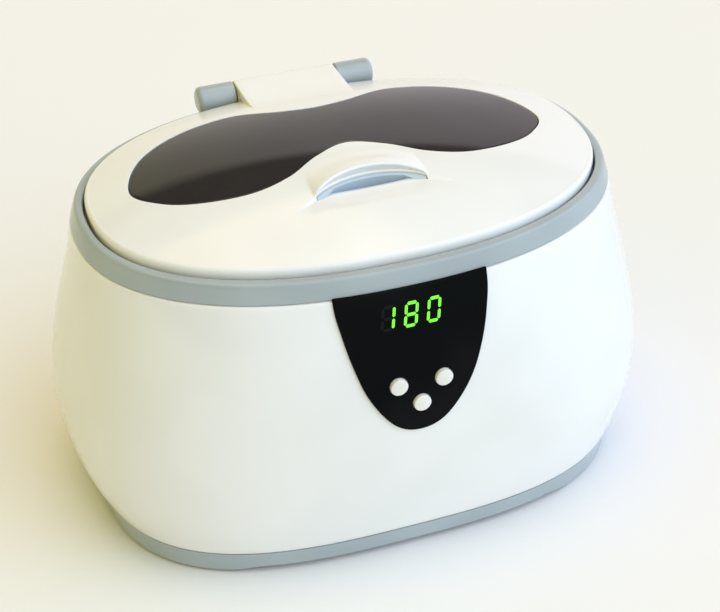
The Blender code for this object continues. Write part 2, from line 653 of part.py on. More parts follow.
# ---------------------------------------------------------------- control panel, buttons and display


def panel_loop(scale, stand_off):
    centre = np.array([0.0, SHIELD_CENTRE])
    points = centre + scale * (SHIELD_OUTLINE - centre)
    x, z = points[:, 0], points[:, 1]
    return np.column_stack([x, -body_front(x, z) - stand_off, z])


def make_control_panel():
    scales = (0.3, 0.65, 1.0)
    outer = [panel_loop(s, PANEL_PROUD) for s in scales]
    inner = [panel_loop(s, GAP) for s in scales]
    panel = loft("control_panel", outer + inner[::-1], "black_plastic")
    for x, z in BUTTONS.values():
        cut(panel, turned("hole", through_front(BUTTON_HOLE_R), (x, 0, z), "y", count=16))
    return panel


def make_buttons_and_switches():
    """Each button is a cap, a collar that holds it behind the wall, and a stem down to its switch."""
    board_face = DISPLAY_BOARD[0][1]
    tip = board_face - 0.0055
    for name, (x, z) in BUTTONS.items():
        front = -float(body_front(x, z))
        cap_face = front - BUTTON_PROUD
        collar = front + WALL + 0.0010
        profile = [(cap_face, BUTTON_R - 0.0006), (cap_face + 0.0004, BUTTON_R), (collar, BUTTON_R),
                   (collar, BUTTON_COLLAR_R), (collar + 0.0010, BUTTON_COLLAR_R),
                   (collar + 0.0010, BUTTON_STEM_R), (tip - BUTTON_TRAVEL - GAP, BUTTON_STEM_R)]
        turned(name, profile, (x, 0, z), "y", "button_plastic", 16)
        switch = name.replace("button", "switch")
        base = box(switch, (x - 0.0030, board_face - GAP - 0.0036, z - 0.0030),
                   (x + 0.0030, board_face - GAP, z + 0.0030), "moulded_black")
        plunger = [(tip, 0.0014), (board_face - 0.0030, 0.0014)]
        join(base, turned("plunger", plunger, (x, 0, z), "y", count=10))


def make_display():
    (x0, y0, z0), (x1, y1, z1) = DISPLAY_BOARD
    box("display_board", (x0, y0, z0), (x1, y1, z1), "circuit_board")
    box("led_display", (-0.0128, y0 - GAP - 0.0060, DISPLAY_Z - 0.0044),
        (0.0128, y0 - GAP, DISPLAY_Z + 0.0033), "moulded_black")
    box("driver_chip", (-0.0070, y0 - GAP - 0.0016, 0.0835), (0.0070, y0 - GAP, 0.0890), "moulded_black")


# ---------------------------------------------------------------- transducer


def make_transducer():
    """A bolted sandwich glued under the tank, from the tank's floor downwards."""
    top = TANK_FLOOR - GAP
    origin = (0, 0, 0)
    bolt_hole = 0.0036
    levels = {"front": 0.0120, "ring": 0.0050, "electrode": 0.0004, "back": 0.0080}
    z = top - levels["front"]
    cone = [(top, 0.0220), (top - 0.0020, 0.0220), (z, 0.0180)]
    front = turned("transducer_front_mass", cone, origin, "z", "aluminium", 20)
    cut(front, turned("thread", [(z - 0.0010, bolt_hole), (z + 0.0080, bolt_hole)], origin, "z", count=12))
    stack = (("piezo_ring_1", "ring", "piezo_ceramic"), ("electrode_1", "electrode", "copper"),
             ("piezo_ring_2", "ring", "piezo_ceramic"), ("electrode_2", "electrode", "copper"),
             ("transducer_back_mass", "back", "stainless"))
    for name, kind, finish in stack:
        z -= GAP
        thick = levels[kind]
        pierced(name, bolt_hole, 0.0176, z - thick, z, origin, "z", finish, 16)
        z -= thick
    z -= GAP
    bolt = [(z - 0.0060, 0.0050), (z, 0.0050), (z, 0.0030), (z + 0.0280, 0.0030)]
    turned("transducer_bolt", bolt, origin, "z", "stainless", 6)


# ---------------------------------------------------------------- power board


def on_board(name, centre, size, finish):
    """A block standing on the power board."""
    (x, y), (w, d, h) = centre, size
    z = POWER_BOARD[1][2] + GAP
    return box(name, (x - w / 2, y - d / 2, z), (x + w / 2, y + d / 2, z + h), finish)


def make_power_board():
    board = box("power_board", *POWER_BOARD, "circuit_board")
    for x, y in BOARD_POSTS:
        cut(board, turned("hole", [(0.0100, 0.0016), (0.0200, 0.0016)], (x, y, 0), "z", count=8))
    z = POWER_BOARD[1][2] + GAP

    x, y = -0.0640, 0.0130
    core = on_board("transformer_core", (x, y), (0.0280, 0.0120, 0.0240), "ferrite")
    for side in (-1, 1):
        middle = x + side * 0.0070
        cut(core, box("slot", (middle - 0.0030, y - 0.0200, z + 0.0040),
                      (middle + 0.0030, y + 0.0200, z + 0.0200)))
    winding = box("transformer_winding", (x - 0.0097, y - 0.0110, z + 0.0044),
                  (x + 0.0097, y + 0.0110, z + 0.0196), "copper")
    cut(winding, box("leg", (x - 0.0044, y - 0.0063, 0.0), (x + 0.0044, y + 0.0063, 0.0800)))

    coil = [(-0.0035, 0.0060), (-0.0035, 0.0085), (-0.0015, 0.0100), (0.0015, 0.0100), (0.0035, 0.0085),
            (0.0035, 0.0060), (0.0, 0.0045)]
    turned("choke", coil, (-0.0640, -0.0080, z + 0.0102), "y", "copper", 20, ring=True)
    on_board("film_capacitor", (-0.0420, 0.0160), (0.0080, 0.0180, 0.0140), "yellow_plastic")
    can = [(z, 0.0058), (z + 0.0010, 0.0062), (z + 0.0200, 0.0062), (z + 0.0206, 0.0056)]
    turned("electrolytic_capacitor", can, (-0.0420, -0.0020, 0), "z", "moulded_black", 20)
    on_board("relay", (-0.0400, -0.0190), (0.0120, 0.0160, 0.0130), "blue_plastic")
    tube = [(-0.0100, 0.0026), (0.0100, 0.0026)]
    turned("fuse", tube, (-0.0640, -0.0190, z + 0.0030), "x", "clear_glass", 12)

    sink = on_board("heat_sink", (-0.0640, -0.0275), (0.0260, 0.0090, 0.0260), "aluminium")
    for k in range(5):
        groove = -0.0640 - 0.0100 + 0.0050 * k
        cut(sink, box("groove", (groove - 0.0015, -0.0300, 0.0), (groove + 0.0015, -0.0200, 0.0800)))
    on_board("power_transistor", (-0.0640, -0.0345), (0.0100, 0.0040, 0.0180), "moulded_black")
    block = on_board("terminal_block", (-0.0560, 0.0330), (0.0200, 0.0080, 0.0100), "moulded_black")
    for k in range(4):
        place = (-0.0560 - 0.0075 + 0.0050 * k, 0.0330, 0)
        cut(block, turned("hole", [(z + 0.0050, 0.0016), (z + 0.0200, 0.0016)], place, "z", count=8))


# ---------------------------------------------------------------- mains inlet and wiring


def make_mains_inlet():
    """A two-pin appliance inlet through the rear wall."""
    face = float(body_front(INLET_X, INLET_Z)) + 0.0004
    socket = box("mains_inlet", (INLET_X - INLET_HALF_X, face - INLET_DEEP, INLET_Z - INLET_HALF_Z),
                 (INLET_X + INLET_HALF_X, face, INLET_Z + INLET_HALF_Z), "moulded_black")
    cut(socket, box("cavity", (INLET_X - CAVITY_HALF_X, face - CAVITY_DEEP, INLET_Z - CAVITY_HALF_Z),
                    (INLET_X + CAVITY_HALF_X, face + 0.0050, INLET_Z + CAVITY_HALF_Z)))
    hole = [(face - 0.0200, CONTACT_R + GAP), (face - 0.0100, CONTACT_R + GAP)]
    pin = [(face - 0.0220, CONTACT_R), (face - 0.0030, CONTACT_R), (face - 0.0024, CONTACT_R - 0.0004)]
    for number, side in enumerate((-1, 1), 1):
        place = (INLET_X + side * PIN_OFF_X, 0, INLET_Z)
        cut(socket, turned("hole", hole, place, "y", count=10))
        turned(f"inlet_pin_{number}", pin, place, "y", "brass", 10)
    return socket


def make_wiring():
    top = POWER_BOARD[1][2]
    route = ((-0.0180, -0.0526, 0.0640), (-0.0240, -0.0500, 0.0480), (-0.0300, -0.0440, 0.0330),
             (-0.0340, -0.0360, 0.0230), (-0.0350, -0.0315, top + 0.0020))
    cable("display_cable", route, 0.0013, "moulded_black")
    for number, (end_x, end_z) in enumerate(((-0.0190, 0.0362), (-0.0190, 0.0309)), 1):
        y = 0.0060 * number
        route = ((end_x - 0.0006, 0.0, end_z), (-0.0250, y, end_z - 0.0040),
                 (-0.0300, y + 0.0040, 0.0240), (-0.0330, y, top + 0.0020))
        cable(f"transducer_lead_{number}", route, 0.0009)
    wall = float(body_front(INLET_X, INLET_Z)) - 0.0226
    for number, side in enumerate((-1, 1), 1):
        x = INLET_X + side * PIN_OFF_X
        route = ((x, wall, INLET_Z), (x - 0.0060, wall - 0.0060, INLET_Z + 0.0010 * side),
                 (0.0100, 0.0400 + 0.0030 * side, INLET_Z + 0.0040),
                 (-0.0200, 0.0380 + 0.0030 * side, 0.0340), (-0.0440, 0.0350 + 0.0020 * side, 0.0330),
                 (-0.0560 - 0.0025 * side, 0.0330, 0.0275))
        cable(f"mains_lead_{number}", route, 0.0010, "moulded_black")


make_body_shell()
make_base_plate()
make_feet_and_screws()
make_top_bezel()
make_tank()
make_hinge_pin()
make_lid_shell()
make_window()
make_retainer()
make_lid_grip()
make_control_panel()
make_buttons_and_switches()
make_display()
make_transducer()
make_power_board()
make_mains_inlet()
make_wiring()

lid_axis = bpy.data.objects.new("lid_axis", None)
lid_axis.location = (0.0, HINGE_Y, HINGE_Z)
bpy.context.scene.collection.objects.link(lid_axis)
bpy.context.view_layer.update()
LID_NODES = ["lid_shell", "lid_window", "window_retainer", "lid_grip"]
LID_NODES += [f"retainer_screw_{k}" for k in range(1, len(RETAINER_SCREWS) + 1)]
for name in LID_NODES:
    piece = bpy.data.objects[name]
    piece.parent = lid_axis
    piece.matrix_parent_inverse = lid_axis.matrix_world.inverted()
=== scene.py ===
# %% [markdown]
# # A benchtop ultrasonic cleaner
# The cleaner is an oval white housing with a steel bath inside, closed by a domed lid that swings on a rear
# hinge. The working model comes first: it fixes where every part sits and what moves. This file then dresses
# that frame with fine surfaces and finishes, so each step below says what a piece is and why its surface is
# made that way.

# %% Load the frame
import json
import math

import bmesh
import bpy
import numpy as np
from mathutils import Matrix, Vector


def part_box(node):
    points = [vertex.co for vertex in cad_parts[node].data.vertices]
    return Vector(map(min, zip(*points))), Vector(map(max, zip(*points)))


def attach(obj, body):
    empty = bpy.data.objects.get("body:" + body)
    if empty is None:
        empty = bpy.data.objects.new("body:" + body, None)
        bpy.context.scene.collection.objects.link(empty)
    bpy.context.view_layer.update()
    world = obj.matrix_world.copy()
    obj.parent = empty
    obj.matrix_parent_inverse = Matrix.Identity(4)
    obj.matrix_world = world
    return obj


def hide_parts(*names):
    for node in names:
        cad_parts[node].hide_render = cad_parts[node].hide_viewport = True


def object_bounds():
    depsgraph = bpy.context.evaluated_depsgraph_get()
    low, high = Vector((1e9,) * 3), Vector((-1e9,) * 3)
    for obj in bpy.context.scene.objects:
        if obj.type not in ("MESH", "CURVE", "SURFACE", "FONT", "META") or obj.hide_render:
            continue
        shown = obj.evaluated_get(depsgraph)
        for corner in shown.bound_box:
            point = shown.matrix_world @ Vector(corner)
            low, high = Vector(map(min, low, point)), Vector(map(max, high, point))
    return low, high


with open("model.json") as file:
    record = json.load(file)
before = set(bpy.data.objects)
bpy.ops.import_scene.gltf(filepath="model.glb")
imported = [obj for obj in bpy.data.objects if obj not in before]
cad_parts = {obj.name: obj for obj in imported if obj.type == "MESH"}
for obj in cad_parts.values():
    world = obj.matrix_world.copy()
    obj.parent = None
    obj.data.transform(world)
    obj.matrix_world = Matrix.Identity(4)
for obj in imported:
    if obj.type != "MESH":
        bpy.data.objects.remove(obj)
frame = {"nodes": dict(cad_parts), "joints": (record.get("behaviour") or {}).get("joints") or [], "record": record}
cad_box = [list(corner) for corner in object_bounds()]
MM = 0.001

# %% [markdown]
# ## The view
# A short telephoto view from above and a little to the left keeps the ovals calm. The camera's place is
# worked out from two angles and a distance, the way a tripod is set up, and rolled very slightly.

# %% Camera
VIEW_AZIMUTH, VIEW_ELEVATION, VIEW_ROLL = (math.radians(angle) for angle in (-19.83, 34.49, -0.71))
VIEW_DISTANCE = 665.9 * MM
VIEW_TARGET = Vector((4.9 * MM, -2.13 * MM, 58.45 * MM))
LENS, SENSOR = 93.08, 36.0

back = Vector((math.sin(VIEW_AZIMUTH) * math.cos(VIEW_ELEVATION),
               -math.cos(VIEW_AZIMUTH) * math.cos(VIEW_ELEVATION), math.sin(VIEW_ELEVATION)))
level_right = Vector((math.cos(VIEW_AZIMUTH), math.sin(VIEW_AZIMUTH), 0.0))
right = level_right * math.cos(VIEW_ROLL) + back.cross(level_right) * math.sin(VIEW_ROLL)
camera = bpy.data.objects.new("camera", bpy.data.cameras.new("camera"))
camera.data.lens, camera.data.sensor_width, camera.data.sensor_fit = LENS, SENSOR, "HORIZONTAL"
camera.data.clip_start, camera.data.clip_end = 0.01, 20.0
camera.matrix_world = (Matrix.Translation(VIEW_TARGET + back * VIEW_DISTANCE)
                       @ Matrix((right, back.cross(right), back)).transposed().to_4x4())
bpy.context.scene.collection.objects.link(camera)
bpy.context.scene.camera = camera
print("camera at", [round(v, 4) for v in camera.matrix_world.translation])

# %% [markdown]
# ## Surfaces as arrays
# Almost everything on this machine is a stack of closed loops: ovals for the housing, circles for buttons and
# feet, a waisted outline for the window. So one helper turns a grid of points, rows by columns, into a mesh.
# It closes the ends, turns every face outwards and keeps only real edges sharp.

# %% From grid to mesh
def grid_faces(rows, columns, wrap_rows):
    """Quads over a grid with closed columns: each joins a point, its right neighbour and the two above."""
    row = np.arange(rows if wrap_rows else rows - 1)[:, None]
    column = np.arange(columns)[None, :]
    next_row, next_column = (row + 1) % rows, (column + 1) % columns
    corners = [row * columns + column, row * columns + next_column,
               next_row * columns + next_column, next_row * columns + column]
    return np.stack(corners, axis=-1).reshape(-1, 4)


def skin(name, grid, wrap_rows=False, sharp=38, merge=0.0):
    """A closed mesh over the grid: wrapped like a tyre, or capped at its first and last row."""
    rows, columns = grid.shape[:2]
    faces = grid_faces(rows, columns, wrap_rows).tolist()
    if not wrap_rows:
        faces += [list(range(columns)), list(range((rows - 1) * columns, rows * columns))]
    mesh = bpy.data.meshes.new(name)
    mesh.from_pydata(grid.reshape(-1, 3).tolist(), [], faces)
    work = bmesh.new()
    work.from_mesh(mesh)
    if merge:
        bmesh.ops.remove_doubles(work, verts=work.verts, dist=merge)
    bmesh.ops.recalc_face_normals(work, faces=work.faces)
    if work.calc_volume(signed=True) < 0:
        bmesh.ops.reverse_faces(work, faces=work.faces)
    work.to_mesh(mesh)
    work.free()
    mesh.shade_smooth()
    mesh.set_sharp_from_angle(angle=math.radians(sharp))
    piece = bpy.data.objects.new(name, mesh)
    bpy.context.scene.collection.objects.link(piece)
    return piece


# %% Joining and cutting
def combine(piece, tool, how, sharp=38):
    """Runs one exact Boolean and removes the tool."""
    modifier = piece.modifiers.new(how.lower(), "BOOLEAN")
    modifier.object, modifier.operation, modifier.solver = tool, how, "EXACT"
    graph = bpy.context.evaluated_depsgraph_get()
    mesh = bpy.data.meshes.new_from_object(piece.evaluated_get(graph), depsgraph=graph)
    piece.modifiers.clear()
    old, piece.data = piece.data, mesh
    mesh.name = piece.name
    bpy.data.meshes.remove(old)
    bpy.data.objects.remove(tool, do_unlink=True)
    mesh.set_sharp_from_angle(angle=math.radians(sharp))


def cut(piece, *tools):
    for tool in tools:
        combine(piece, tool, "DIFFERENCE")


def join(piece, *tools):
    for tool in tools:
        combine(piece, tool, "UNION")


def fit(piece, material, body, slot, *nodes):
    """Gives a piece its finish and the body it moves with, and hides the CAD nodes it stands for. The slot is not
    used.
    """
    piece.data.materials.clear()
    piece.data.materials.append(material)
    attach(piece, body)
    if nodes:
        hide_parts(*nodes)
    print(f"{piece.name}: {len(piece.data.polygons)} faces, on {body}")


# %% Profiles, ovals and turned parts
def softened(points, radius, steps=5, closed=True):
    """Rounds the corners of a path: each becomes the curve (1-t)^2 start + 2t(1-t) corner + t^2 end."""
    points = np.asarray(points, float)
    to_next = np.roll(points, -1, axis=0) - points
    to_last = np.roll(points, 1, axis=0) - points
    reach = np.broadcast_to(np.asarray(radius, float), len(points))[:, None]
    next_length = np.linalg.norm(to_next, axis=1, keepdims=True)
    last_length = np.linalg.norm(to_last, axis=1, keepdims=True)
    start = points + to_last / last_length * np.minimum(reach, 0.45 * last_length)
    end = points + to_next / next_length * np.minimum(reach, 0.45 * next_length)
    t = np.linspace(0, 1, steps)[None, :, None]
    bend = (1 - t) ** 2 * start[:, None] + 2 * t * (1 - t) * points[:, None] + t**2 * end[:, None]
    if closed:
        return bend.reshape(-1, points.shape[1])
    return np.vstack([points[:1], bend[1:-1].reshape(-1, points.shape[1]), points[-1:]])


def oval_grid(a, b, n, z, count=256):
    """Ovals |x/a|^n + |y/b|^n = 1, one a row: the radius at t is (|cos t/a|^n + |sin t/b|^n)^(-1/n)."""
    t = np.linspace(0, 2 * math.pi, count, endpoint=False)[None, :]
    a, b, n, z = (np.broadcast_to(v, np.shape(z))[:, None] for v in (a, b, n, z))
    radius = ((np.abs(np.cos(t)) / a) ** n + (np.abs(np.sin(t)) / b) ** n) ** (-1 / n)
    return np.stack([radius * np.cos(t), radius * np.sin(t), z + 0 * t], axis=-1)


def turned(name, profile, origin, axis, count=48, wrap=False, sharp=38):
    """A profile of (distance along the axis, radius) spun round it: across = r cos t, up = r sin t."""
    profile = np.asarray(profile, float)
    t = np.linspace(0, 2 * math.pi, count, endpoint=False)[None, :]
    across, up = {"x": (1, 2), "y": (2, 0), "z": (0, 1)}[axis]
    grid = np.zeros((len(profile), count, 3))
    grid[..., "xyz".index(axis)] = profile[:, :1]
    grid[..., across] = profile[:, 1:] * np.cos(t)
    grid[..., up] = profile[:, 1:] * np.sin(t)
    return skin(name, grid + np.asarray(origin, float), wrap, sharp)


def block(name, low, high, soft=0.0, axis="z"):
    """A box between two corners, its four edges along one axis rounded."""
    along = "xyz".index(axis)
    u, v = [k for k in range(3) if k != along]
    corners = [(low[u], low[v]), (high[u], low[v]), (high[u], high[v]), (low[u], high[v])]
    plan = softened(corners, soft) if soft else np.array(corners, float)
    grid = np.zeros((2, len(plan), 3))
    grid[..., u], grid[..., v] = plan[:, 0], plan[:, 1]
    grid[0, :, along], grid[1, :, along] = low[along], high[along]
    return skin(name, grid)


# %% [markdown]
# ## Shared shader effects
# Three effects return on nearly every part, so each is a node group with named sockets. The moulding grain
# gives the slight waviness and fine texture that injection moulding leaves. Edge wear compares the true
# normal with a rounded one, which differ only where an edge is sharp. Dust settles on faces that look up and
# breaks up in patches.

# %% Node helpers
def add(tree, kind, **settings):
    """Adds a node; a socket is linked, and a plain value is set on the input or on the node itself."""
    node = tree.nodes.new(kind)
    for key, value in settings.items():
        if key.isidentifier() and hasattr(node, key) and key not in node.inputs:
            setattr(node, key, value)
            continue
        numbered = key[0] == "i" and key[1:].isdigit()
        socket = node.inputs[int(key[1:]) if numbered else key.replace("_", " ")]
        if isinstance(value, bpy.types.NodeSocket):
            tree.links.new(value, socket)
        else:
            socket.default_value = value
    return node


def group(name, inputs, outputs):
    """An empty node group with its sockets; returns it with its input and output nodes."""
    tree = bpy.data.node_groups.new(name, "ShaderNodeTree")
    for label, kind, default in inputs:
        socket = tree.interface.new_socket(label, in_out="INPUT", socket_type=kind)
        socket.default_value = default
    for label, kind in outputs:
        tree.interface.new_socket(label, in_out="OUTPUT", socket_type=kind)
    return tree, tree.nodes.new("NodeGroupInput"), tree.nodes.new("NodeGroupOutput")


def math_node(tree, operation, first, second=0.0, clamp=False):
    return add(tree, "ShaderNodeMath", operation=operation, use_clamp=clamp, i0=first, i1=second).outputs[0]


def spread(tree, value, low, high, to_low=0.0, to_high=1.0):
    """Stretches a value from one range to another with soft ends."""
    node = add(tree, "ShaderNodeMapRange", interpolation_type="SMOOTHSTEP", Value=value)
    for label, number in zip(("From Min", "From Max", "To Min", "To Max"), (low, high, to_low, to_high)):
        node.inputs[label].default_value = number
    return node.outputs["Result"]


# %% Moulding grain
FLOAT = "NodeSocketFloat"
grain, at, out = group("moulding_grain", [("Grain Size", FLOAT, 1200.0), ("Wave Size", FLOAT, 28.0)],
                       [("Height", FLOAT), ("Tone", FLOAT)])
place = add(grain, "ShaderNodeTexCoord").outputs["Object"]
fine = add(grain, "ShaderNodeTexNoise", Vector=place, Scale=at.outputs["Grain Size"], Detail=2.0)
wave = add(grain, "ShaderNodeTexNoise", Vector=place, Scale=at.outputs["Wave Size"], Detail=1.0)
height = math_node(grain, "ADD", math_node(grain, "MULTIPLY", fine.outputs["Fac"], 0.25), wave.outputs["Fac"])
grain.links.new(height, out.inputs["Height"])
grain.links.new(wave.outputs["Fac"], out.inputs["Tone"])

# %% Edge wear
wear, at, out = group("edge_wear", [("Width", FLOAT, 0.0006), ("Amount", FLOAT, 0.5)], [("Mask", FLOAT)])
rounded = add(wear, "ShaderNodeBevel", samples=4, Radius=at.outputs["Width"]).outputs["Normal"]
surface = add(wear, "ShaderNodeNewGeometry")
agree = add(wear, "ShaderNodeVectorMath", operation="DOT_PRODUCT", i0=rounded, i1=surface.outputs["Normal"])
edge = math_node(wear, "SUBTRACT", 1.0, agree.outputs["Value"])
patchy = add(wear, "ShaderNodeTexNoise", Scale=260.0, Detail=3.0,
             Vector=add(wear, "ShaderNodeTexCoord").outputs["Object"]).outputs["Fac"]
rubbed = math_node(wear, "MULTIPLY", spread(wear, edge, 0.02, 0.25),
                   spread(wear, patchy, 0.35, 0.65, 0.4, 1.0))
wear.links.new(math_node(wear, "MULTIPLY", rubbed, at.outputs["Amount"], True), out.inputs["Mask"])

# %% Dust
dust, at, out = group("dust", [("Amount", FLOAT, 0.3), ("Patch Size", FLOAT, 45.0)], [("Mask", FLOAT)])
coordinates = add(dust, "ShaderNodeTexCoord")
upward = add(dust, "ShaderNodeSeparateXYZ", Vector=coordinates.outputs["Normal"]).outputs["Z"]
cloud = add(dust, "ShaderNodeTexNoise", Vector=coordinates.outputs["Object"],
            Scale=at.outputs["Patch Size"], Detail=6.0)
speck = add(dust, "ShaderNodeTexNoise", Vector=coordinates.outputs["Object"], Scale=1500.0, Detail=1.0)
film = math_node(dust, "MULTIPLY", spread(dust, upward, 0.35, 1.0),
                 spread(dust, cloud.outputs["Fac"], 0.4, 0.75))
specks = math_node(dust, "MULTIPLY", film, spread(dust, speck.outputs["Fac"], 0.5, 0.75, 0.3, 1.0))
dust.links.new(math_node(dust, "MULTIPLY", specks, at.outputs["Amount"], True), out.inputs["Mask"])

# %% Brushed metal
brushed, at, out = group("brushed_lines", [("Stretch", "NodeSocketVector", (40.0, 40.0, 1600.0))],
                         [("Height", FLOAT), ("Tone", FLOAT)])
place = add(brushed, "ShaderNodeTexCoord").outputs["Object"]
stretched = add(brushed, "ShaderNodeVectorMath", operation="MULTIPLY", i0=place,
                i1=at.outputs["Stretch"]).outputs[0]
line = add(brushed, "ShaderNodeTexNoise", Vector=stretched, Scale=1.0, Detail=3.0).outputs["Fac"]
brushed.links.new(line, out.inputs["Height"])
brushed.links.new(spread(brushed, line, 0.3, 0.7), out.inputs["Tone"])
print("shader groups:", [g.name for g in bpy.data.node_groups])

# %% [markdown]
# ## Finishes
# A finish is one Principled shader with the shared groups wired into its colour, roughness and bump. Two
# close colours are mixed by the grain's tone, worn edges go paler, and dust makes the gloss duller and the
# colour greyer. The numbers that stay the same all over a part are set straight on the shader.

# %% One function for the common finishes
def rgb(r, g, b):
    return (r, g, b, 1.0)


def blend(tree, amount, first, second):
    """Mixes two colours by a mask."""
    node = add(tree, "ShaderNodeMix", data_type="RGBA", i0=amount)
    for index, value in ((6, first), (7, second)):
        if isinstance(value, bpy.types.NodeSocket):
            tree.links.new(value, node.inputs[index])
        else:
            node.inputs[index].default_value = value
    return node.outputs[2]


def finish(name, colour, second, roughness, spread_by=0.06, metallic=0.0, grain_size=1200.0, wave_size=28.0,
           relief=0.02, depth=0.0003, worn=None, wear_amount=0.0, wear_width=0.0005, dust_amount=0.0,
           lines=None, **shader_values):
    """A Principled material: two tones by grain, pale worn edges, dust in patches, a fine bump."""
    material = bpy.data.materials.new(name)
    material.use_nodes = True
    tree = material.node_tree
    shader = tree.nodes["Principled BSDF"]
    if lines:
        pattern = add(tree, "ShaderNodeGroup", node_tree=brushed, Stretch=lines)
    else:
        pattern = add(tree, "ShaderNodeGroup", node_tree=grain, Grain_Size=grain_size, Wave_Size=wave_size)
    tone = spread(tree, pattern.outputs["Tone"], 0.35, 0.65)
    base = blend(tree, tone, colour, second)
    rough = spread(tree, pattern.outputs["Tone"], 0.3, 0.7, roughness - spread_by / 2,
                   roughness + spread_by / 2)
    if wear_amount:
        rub = add(tree, "ShaderNodeGroup", node_tree=wear, Width=wear_width,
                  Amount=wear_amount).outputs["Mask"]
        base = blend(tree, rub, base, worn or second)
        rough = math_node(tree, "ADD", rough, math_node(tree, "MULTIPLY", rub, 0.12), True)
    if dust_amount:
        film = add(tree, "ShaderNodeGroup", node_tree=dust, Amount=dust_amount).outputs["Mask"]
        base = blend(tree, film, base, rgb(0.62, 0.60, 0.56))
        rough = math_node(tree, "ADD", rough, math_node(tree, "MULTIPLY", film, 0.5), True)
    tree.links.new(base, shader.inputs["Base Color"])
    tree.links.new(rough, shader.inputs["Roughness"])
    bump = add(tree, "ShaderNodeBump", Strength=relief, Distance=depth, Height=pattern.outputs["Height"])
    tree.links.new(bump.outputs["Normal"], shader.inputs["Normal"])
    shader.inputs["Metallic"].default_value = metallic
    for key, value in shader_values.items():
        shader.inputs[key.replace("_", " ")].default_value = value
    return material


# %% The finishes
WHITE = finish("white_shell", rgb(0.84, 0.84, 0.825), rgb(0.87, 0.87, 0.86), 0.13, 0.05, relief=0.04,
               worn=rgb(0.93, 0.93, 0.92), wear_amount=0.25, dust_amount=0.05, IOR=1.50, Coat_Weight=0.15,
               Coat_Roughness=0.05)
GREY = finish("grey_trim", rgb(0.375, 0.425, 0.445), rgb(0.412, 0.465, 0.485), 0.18, 0.06, relief=0.05,
              worn=rgb(0.55, 0.60, 0.61), wear_amount=0.5, dust_amount=0.06, IOR=1.48)
INSERT = finish("grip_insert", rgb(0.46, 0.56, 0.64), rgb(0.51, 0.61, 0.69), 0.30, 0.08, relief=0.06,
                worn=rgb(0.50, 0.56, 0.60), wear_amount=0.4)
PANEL = finish("panel_black", rgb(0.0045, 0.005, 0.0055), rgb(0.008, 0.0085, 0.009), 0.07, 0.04, relief=0.015,
               worn=rgb(0.05, 0.05, 0.05), wear_amount=0.4, dust_amount=0.02, Specular_IOR_Level=0.12,
               IOR=1.15)
BUTTON = finish("button_white", rgb(0.82, 0.80, 0.75), rgb(0.86, 0.845, 0.80), 0.32, 0.08, relief=0.10,
                worn=rgb(0.90, 0.89, 0.86), wear_amount=0.5, dust_amount=0.05)
BLACK = finish("black_moulding", rgb(0.018, 0.018, 0.019), rgb(0.03, 0.03, 0.031), 0.45, 0.12,
               grain_size=2600.0,
               relief=0.25, worn=rgb(0.10, 0.10, 0.10), wear_amount=0.5)
RUBBER = finish("foot_rubber", rgb(0.022, 0.022, 0.022), rgb(0.045, 0.045, 0.044), 0.82, 0.12,
                grain_size=1800.0,
                relief=0.35, worn=rgb(0.12, 0.12, 0.115), wear_amount=0.6)
STEEL = finish("stainless", rgb(0.66, 0.66, 0.65), rgb(0.74, 0.74, 0.73), 0.27, 0.12, 1.0, relief=0.10,
               depth=0.0001,
               lines=(30.0, 30.0, 2200.0), worn=rgb(0.85, 0.85, 0.84), wear_amount=0.3)
ALUMINIUM = finish("aluminium", rgb(0.72, 0.73, 0.74), rgb(0.82, 0.83, 0.84), 0.34, 0.14, 1.0, relief=0.12,
                   depth=0.0001,
                   lines=(60.0, 60.0, 1500.0), worn=rgb(0.9, 0.9, 0.9), wear_amount=0.4)
BRASS = finish("brass", rgb(0.70, 0.52, 0.22), rgb(0.80, 0.62, 0.30), 0.28, 0.12, 1.0, relief=0.08,
               worn=rgb(0.88, 0.74, 0.45), wear_amount=0.5)
COPPER = finish("copper", rgb(0.58, 0.25, 0.12), rgb(0.72, 0.36, 0.20), 0.30, 0.12, 1.0, relief=0.5,
                depth=0.0002,
                lines=(60.0, 60.0, 2400.0), worn=rgb(0.85, 0.52, 0.35), wear_amount=0.3)
FERRITE = finish("ferrite", rgb(0.045, 0.045, 0.048), rgb(0.075, 0.075, 0.078), 0.62, 0.15, grain_size=3000.0,
                 relief=0.4, worn=rgb(0.2, 0.2, 0.2), wear_amount=0.5)
CERAMIC = finish("piezo_ceramic", rgb(0.62, 0.57, 0.42), rgb(0.72, 0.68, 0.54), 0.58, 0.15, grain_size=3000.0,
                 relief=0.3, worn=rgb(0.85, 0.82, 0.72), wear_amount=0.4)
BOARD = finish("circuit_board", rgb(0.010, 0.105, 0.040), rgb(0.018, 0.160, 0.065), 0.38, 0.12,
               wave_size=260.0,
               relief=0.3, worn=rgb(0.45, 0.50, 0.30), wear_amount=0.5)
BLUE = finish("blue_plastic", rgb(0.020, 0.070, 0.32), rgb(0.030, 0.095, 0.40), 0.36, 0.10, relief=0.12,
              worn=rgb(0.15, 0.22, 0.55), wear_amount=0.4)
YELLOW = finish("yellow_plastic", rgb(0.70, 0.48, 0.05), rgb(0.78, 0.56, 0.09), 0.36, 0.10, relief=0.12,
                worn=rgb(0.86, 0.70, 0.30), wear_amount=0.4)
WIRE = finish("wire_insulation", rgb(0.46, 0.025, 0.018), rgb(0.58, 0.045, 0.030), 0.46, 0.12, relief=0.15,
              dust_amount=0.1)
GLASS = finish("clear_glass", rgb(0.90, 0.93, 0.93), rgb(0.95, 0.97, 0.97), 0.05, 0.03, relief=0.01,
               Transmission_Weight=0.85, IOR=1.5)
